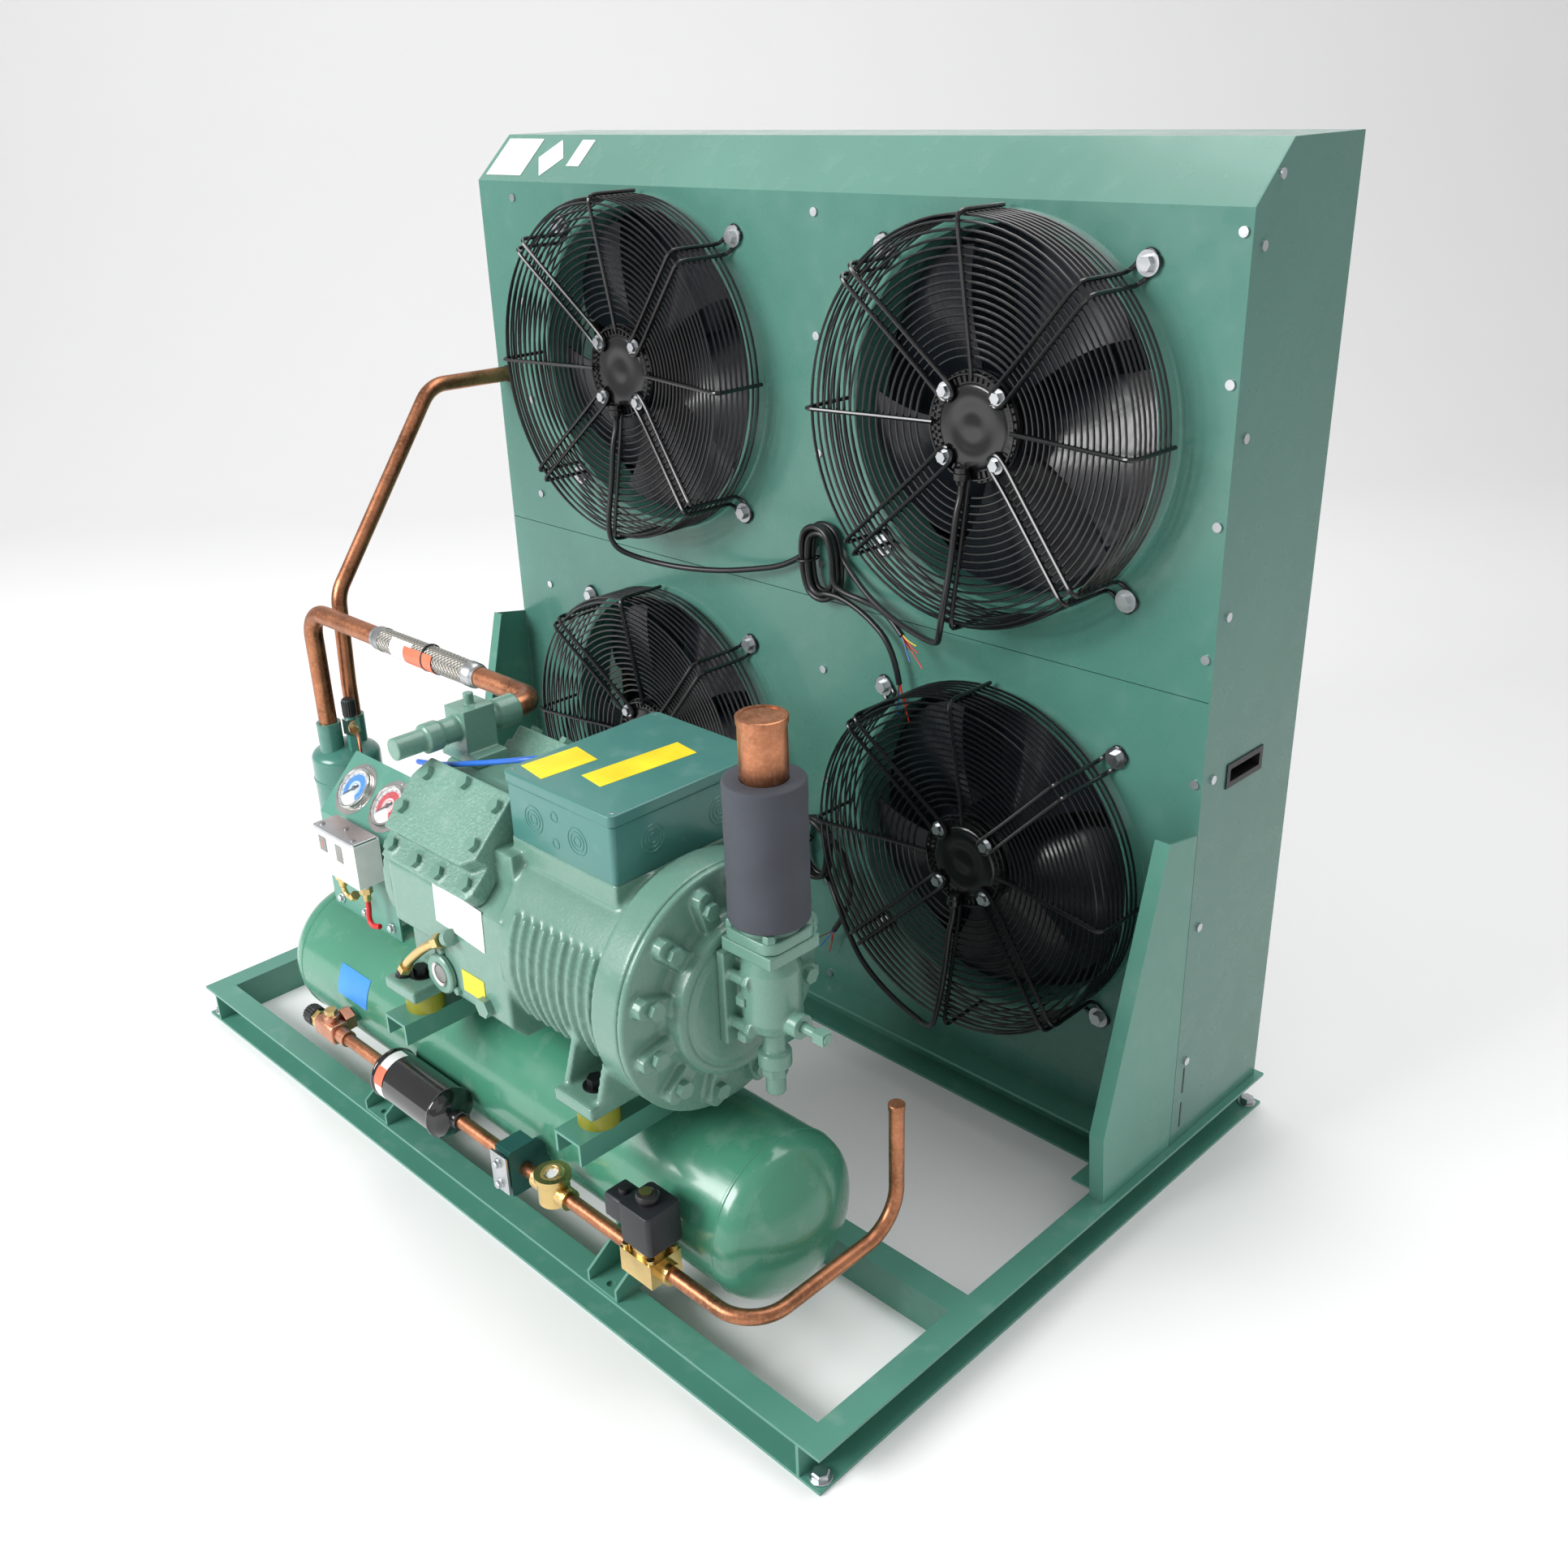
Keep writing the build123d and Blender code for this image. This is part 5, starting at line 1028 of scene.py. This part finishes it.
# oil separator fittings and discharge absorber
separator = middle("oil_separator")
valveX, valveY = -606.0, separator[1]
sepParts = [(hexBar((valveX, valveY, 470), up, 24, 26), "chrome"),
    (knurl((valveX, valveY, 500), up, 11, 30, 18), "capBlack"),
    (hexBar((valveX + 10, valveY - 4, 482), (1, -0.3, 0), 14, 16), "brass"),
    (sweep(softPath([(valveX + 26, valveY - 9, 482), (valveX + 40, valveY - 14, 484),
        (valveX + 56, valveY - 20, 476),
        (valveX + 66, valveY - 26, 450), (valveX + 68, valveY - 32, 420)]), 2.6, 10),
        "copper")]
for z in (164, 384):
    sepParts.append((ringLathe([(56.8, -4), (58.4, -2.6), (58.4, 2.6), (56.8, 4)],
            (separator[0], separator[1], z), up, 56), "separatorGreen"))
piece("separatorFittings", sepParts)
absorber = span("vibration_absorber")
axisPoint = ((absorber[0] + absorber[1]) / 2)[1:]


def braidTube(x0, x1, radius, columns=64, sides=40):
    # tube along X whose radius swells a little between its ferrules; u runs round it, v along it
    s, a = np.meshgrid(np.linspace(0, 1, columns), np.linspace(0, 2 * np.pi, sides + 1), indexing="ij")
    r = radius + 1.0 * np.sin(np.pi * s) ** 0.5
    points = np.stack([x0 + (x1 - x0) * s, axisPoint[0] + r * np.cos(a), axisPoint[1] + r * np.sin(a)], -1)
    uv = np.stack([a / (2 * np.pi), s], -1)
    return points.reshape(-1, 3), gridFaces(columns, sides + 1, wrapColumns=False), uv.reshape(-1, 2)


ends = [absorber[0][0], absorber[1][0]]
braidParts = [(braidTube(ends[0] + 22, ends[1] - 22, 17.6), "braid")]
for x, way in ((ends[0], 1), (ends[1], -1)):
    ferrule = [(14.4, 0), (16, 0), (16, 6), (18.6, 9), (18.9, 25), (16, 27), (14.4, 27)]
    braidParts.append((ringLathe(ferrule, (x, *axisPoint), (way, 0, 0), 40), "steel"))
piece("braidedAbsorber", braidParts, replace=["vibration_absorber"])
tag = []
for k, (x0, x1, colour) in enumerate(((-372, -318, "labelWhite"), (-335, -262, "labelOrange"))):
    tag.append((curvedPlate(axisPoint, 19.6 + 0.5 * k, (x0, x1), (120 + 20 * k, 250 + 10 * k)), colour))
tag.append((ringLathe([(19, -1.5), (21, -1.5), (21, 1.5), (19, 1.5)], (-290, *axisPoint), (1, 0.15, 0),
        40), "capBlack"))
piece("absorberTag", tag)
print("stage: separator and absorber")


# suction line: foam sleeve, capped stub
foamLow, foamHigh = span("pipe_insulation")
pipeX, pipeY = (foamLow[0] + foamHigh[0]) / 2, (foamLow[1] + foamHigh[1]) / 2


def foamSleeve():
    # thick tube with rounded ends; its skin wanders a millimetre or so
    height = foamHigh[2] - foamLow[2]
    rows = [(27.2, height), (29, height - 0.5), (44, height), (46, height - 1.2), (46.8, height - 4)]
    rows += [(46.4 + 0.4 * math.sin(k * 1.9), height - 8 - k * (height - 16) / 12) for k in range(13)]
    rows += [(46.6, 4), (45.6, 1.2), (44, 0.2), (27.2, 0.2)]
    return ringLathe(rows, (pipeX, pipeY, foamLow[2]), up, 56)


piece("foamSleeve", [(foamSleeve(), "foamGrey")], replace=["pipe_insulation"], crease=50)
flangeLow, flangeHigh = span("suction_pipe")
flangeTop = flangeLow[2] + 15
suctionParts = [(softBlock((flangeLow[0], flangeLow[1], flangeLow[2]),
        (flangeHigh[0], flangeHigh[1], flangeTop), 15, 2.2), "castGreen"),
    (lathe([(0, 0), (37, 0), (35, 6), (31, 8), (0, 8)], (pipeX, pipeY, flangeTop - 1), up, 40),
        "castGreen"), (ringLathe([(25, 2), (26.6, 2), (26.6, 195), (27, 196), (27, 264.5), (25, 264.5)],
        (pipeX, pipeY, flangeLow[2]), up, 64), "copper")]
for i in (-29, 29):
    for j in (-29, 29):
        suctionParts += clad("castGreen", bolt((pipeX + i, pipeY + j, flangeTop), up, 14, 8))
piece("suctionStub", suctionParts, replace=["suction_pipe"])
stubTop = flangeHigh[2]
piece("stubCap", [(ringLathe([(26.9, -9), (28.2, -9), (28.6, -1), (27.4, -0.1), (22, -0.2), (22, -2),
        (26.9, -2)], (pipeX, pipeY, stubTop), up, 56), "copper"),
        (lathe([(0, -1.2), (22.2, -1.4), (22.2, -0.8), (0, -0.5)], (pipeX, pipeY, stubTop), up,
        48), "copper")])
riserTop = span("liquid_pipes")[1]
piece("riserCap", [(ringLathe([(9.4, -8), (10.2, -8), (10.4, -1), (9.6, -0.2), (0.1, -0.2), (0.1, -1)],
        (617, -232, riserTop[2]), up, 32), "copper")])
print("stage: suction line")


# liquid line
lineY, lineZ = -480.0, 165.0
valveParts = [(knurl((-350 + 22, lineY, lineZ), left, 15, 22, 20), "capBlack"),
    (hexBar((-330, lineY, lineZ), right, 24, 12), "brass"),
    (softBlock((-312, lineY - 16, lineZ - 16), (-262, lineY + 16, lineZ + 16), 9, 3, upright=0),
        "brightCopper"),
    (lathe([(0, 0), (12, 0), (12, 10), (9, 12), (0, 12)], (-283, lineY, lineZ + 14), up, 24),
        "brightCopper"), (hexBar((-283, lineY, lineZ + 22), up, 17, 12), "brass"),
    (hexBar((-283, lineY + 14, lineZ + 6), (0, 1, 0.05), 34, 16), "brightCopper"),
    (lathe([(0, 0), (12, 0), (12.5, 6), (12.5, 22), (0, 22)], (-262, lineY, lineZ), right, 28),
        "brightCopper")]
piece("receiverValveBody", valveParts, replace=["receiver_valve"], bevel=0.0006)
drier = span("filter_drier")
drierRadius = 36.0
drierLength = drier[1][0] - drier[0][0]
drierEnd = [(0, 0), (13, 0), (13, 13), (20, 15.5), (27, 19), (32, 23), (35, 27.6), (37.4, 29), (38, 31),
    (37.4, 33), (36, 34.4)]
drierCan = drierEnd + [(radius, drierLength - along) for radius, along in drierEnd[::-1]]
drierParts = [(lathe(drierCan, (drier[0][0], lineY, lineZ), right, 64), "drierBlack"),
    (curvedPlate((lineY, lineZ), drierRadius + 0.3, (drier[0][0] + 38, drier[0][0] + 56),
        (70, 215)), "labelWhite"),
    (curvedPlate((lineY, lineZ), drierRadius + 0.9, (drier[0][0] + 37, drier[0][0] + 57),
        (130, 172)), "labelOrange")]
piece("drier", drierParts, replace=["filter_drier"])
coilLow, coilHigh = span("solenoid_coil")
stem = (445.0, lineY)
coilParts = [(softBlock((424, coilLow[1] + 6, coilLow[2] + 1), (coilHigh[0], coilHigh[1] - 4, 257), 6, 2),
        "coilBlack"), (softBlock((388, -499, 211), (428, -463, 246), 5, 2, upright=0), "coilBlack"),
    (lathe([(0, 0), (14, 0), (14.6, 2), (14.6, 8), (12.5, 11), (9, 11.8), (8, 10.6), (0, 10.6)],
        (stem[0] + 3, stem[1], 256), up, 36), "capBlack"),
    (lathe([(0, 0), (7.5, 0), (7.5, 5), (6.4, 8), (0, 9)], (406, stem[1] - 1, 244), up, 20),
        "capBlack"),
    (lathe([(0, 0), (4, 0), (3.6, 2), (0, 2.6)], (388.5, stem[1] - 1, 228), left, 16), "zinc")]
piece("solenoidHead", coilParts, replace=["solenoid_coil"])
clampLow, clampHigh = span("pipe_clamp")
clampParts = [(softBlock((clampLow[0] - 2, clampLow[1] - 2, clampLow[2] + 8),
        (clampHigh[0] + 2, clampLow[1] + 1.5, clampHigh[2] - 4), 2, 0.5, upright=1),
        "zinc")]
clampParts += [(shape, "zinc") for z in (clampLow[2] + 20, clampHigh[2] - 18)
    for shape in bolt(((clampLow[0] + clampHigh[0]) / 2, clampLow[1] - 2, z), front, 10, 5, 7)]
piece("clampPlate", clampParts)
glassLow, glassHigh = span("liquid_sight_glass")
glassX = (glassLow[0] + glassHigh[0]) / 2
piece("sightGlassEye", [(ringLathe([(9, 0), (17, 0), (17, 5), (14.5, 8), (10, 8), (9, 5)],
        (glassX, lineY, glassHigh[2] - 6), (0, -0.25, 1), 40), "brass"),
        (lathe([(0, 0), (10.5, 0), (9, 1.4), (0, 2.4)],
        (glassX, lineY - 0.8, glassHigh[2] - 2), (0, -0.25, 1), 32), "glass"),
        (lathe([(0, 0), (9.8, 0), (0, 0.4)], (glassX, lineY - 0.6, glassHigh[2] - 2.4),
        (0, -0.25, 1), 32), "labelWhite"),
        (hexBar((glassLow[0] + 2, lineY, lineZ), right, 25, 13), "brass"),
        (hexBar((glassHigh[0] - 2, lineY, lineZ), left, 25, 13), "brass")], bevel=0.0005)
print("stage: liquid line")


# receiver seams and label, base bolts, hood plates, side slots drawn as black painted shade
tankY, tankZ, tankRadius = -333.0, 183.0, 109.5
tankEnds = (-440, 514)
seams = [(ringLathe([(tankRadius - 0.6, -3.4), (tankRadius + 1.0, -1.5), (tankRadius + 1.0, 1.5),
        (tankRadius - 0.6, 3.4)],
        (x, tankY, tankZ), right, 96), "tankGreen") for x in (tankEnds[0] + 3, tankEnds[1] - 3)]
piece("tankSeams", seams)
piece("tankLabel", [(curvedPlate((tankY, tankZ), tankRadius + 0.3, (-325, -245), (149, 174), 0.4),
        "labelBlue")])
anchors = [(x, y) for x in (-711, 711) for y in (-471, 471)]
boltParts = []
for x, y in anchors:
    boltParts += clad("zinc", bolt((x, y, 4.6), up, 19, 8, 13.5))
piece("anchorBolts", boltParts)


hood = {"y": 241, "z": 1300, "depth": 72, "rise": 67}
labelLift = 0.4


def onSlope(x, share):
    # point on the sloping hood: share 0 at its lower edge, 1 at its upper edge
    return (x, hood["y"] + hood["depth"] * share - labelLift, hood["z"] + hood["rise"] * share + labelLift)


hoodLabels = [[(-702, 0.12), (-608, 0.12), (-608, 0.9), (-702, 0.9)],
    [(-590, 0.5), (-558, 0.12), (-526, 0.5), (-558, 0.88)],
    [(-506, 0.34), (-474, 0.34), (-474, 0.88), (-506, 0.88)]]
hoodPlates = [(plate([onSlope(*corner) for corner in label], 0.5), "labelWhite") for label in hoodLabels]
piece("hoodPlates", hoodPlates)
panelHigh = span("side_panels")[1]
# the side slots are thin black blocks on the panel: painted shade standing in for the openings
piece("sideSlotsPaintedShade", [(softBlock((side * panelHigh[0] - 0.6, 262, z),
        (side * panelHigh[0] + 0.6, 265, z + 42), 1.2, 0.2, upright=0), "printInk")
        for side in (1, -1) for z in (78, 136)])
print("stage: trim")


# floor, light and camera
studio = {"floor": 0.92, "key": 262, "fill": 8, "rim": 92, "world": 0.50}


def floorMaterial():
    # pale floor whose colour is pure to the camera and to reflections, so only the shadow shows
    shader = Shader("floorPale", (studio["floor"],) * 3, 0.9, Specular_IOR_Level=0.1)
    grain = shader.noise(3, 2)
    shader.feed("Base Color", shader.blend(grain, shade((studio["floor"],) * 3, 0.995),
            shade((studio["floor"],) * 3, 1.01)))
    return shader.material


def stageFloor():
    # flat grid with a raised far end: height is zero, then rises as a quarter circle
    along = np.concatenate([[-6.0], np.linspace(3.5, 6.0, 16)])
    rise = np.concatenate([[0.0], 2.5 - np.sqrt(np.maximum(0, 2.5 ** 2 - (along[1:] - 3.5) ** 2))])
    along = np.append(along, 6.0)
    rise = np.append(rise, 9.0)
    across = np.array([-9.0, 9.0])
    points = np.array([(x, y, z) for y, z in zip(along, rise) for x in across])
    mesh = bpy.data.meshes.new("floorSheet")
    mesh.from_pydata(points.tolist(), [], gridFaces(len(along), 2, wrapColumns=False))
    mesh.materials.append(floorMaterial())
    mesh.polygons.foreach_set("use_smooth", [True] * len(mesh.polygons))
    made = bpy.data.objects.new("floorSheet", mesh)
    collection.objects.link(made)
    turn = Matrix.Rotation(math.radians(45.5), 4, "Z")
    mesh.transform(turn)


def areaLight(name, place, target, size, power):
    # rectangular lamp turned to face its target
    lamp = bpy.data.lights.new(name, "AREA")
    lamp.shape = "RECTANGLE"
    lamp.size, lamp.size_y = size
    lamp.energy = power
    made = bpy.data.objects.new(name, lamp)
    collection.objects.link(made)
    made.location = place
    made.rotation_euler = (Vector(target) - Vector(place)).to_track_quat("-Z", "Y").to_euler()


stageFloor()
areaLight("key", (-1.5, -4.2, 2.9), (0, 0, 0.6), (2.6, 2.2), studio["key"])
areaLight("fill", (3.6, -2.6, 2.2), (0, 0, 0.6), (2.4, 2.4), studio["fill"])
areaLight("top", (0.2, 1.2, 4.2), (0, 0.2, 0.8), (3.4, 2.4), studio["rim"])
world = bpy.data.worlds.new("paleRoom")
bpy.context.scene.world = world
world.use_nodes = True
tree = world.node_tree
background = tree.nodes["Background"]
seen = tree.nodes.new("ShaderNodeLightPath")
white = tree.nodes.new("ShaderNodeBackground")
white.inputs["Color"].default_value = (1, 1, 1, 1)
white.inputs["Strength"].default_value = 1.0
background.inputs["Color"].default_value = (1, 1, 1, 1)
background.inputs["Strength"].default_value = studio["world"]
mixer = tree.nodes.new("ShaderNodeMixShader")
tree.links.new(seen.outputs["Is Camera Ray"], mixer.inputs[0])
tree.links.new(background.outputs[0], mixer.inputs[1])
tree.links.new(white.outputs[0], mixer.inputs[2])
tree.links.new(mixer.outputs[0], tree.nodes["World Output"].inputs[0])

cameraData = bpy.data.cameras.new("view")
cameraData.lens = 35.158
cameraData.sensor_width = 36
cameraData.clip_end = 60
camera = bpy.data.objects.new("view", cameraData)
collection.objects.link(camera)
camera.matrix_world = Matrix(((0.71099848, -0.27556041, 0.64695257, 1.58508),
        (0.70253238, 0.31824369, -0.63652903, -1.35261), (-0.03048637, 0.9070763, 0.41986089, 1.44354),
        (0, 0, 0, 1)))
bpy.context.scene.camera = camera
bpy.context.scene.view_settings.view_transform = "Standard"
print("stage: floor, light and camera")

bpy.context.view_layer.update()
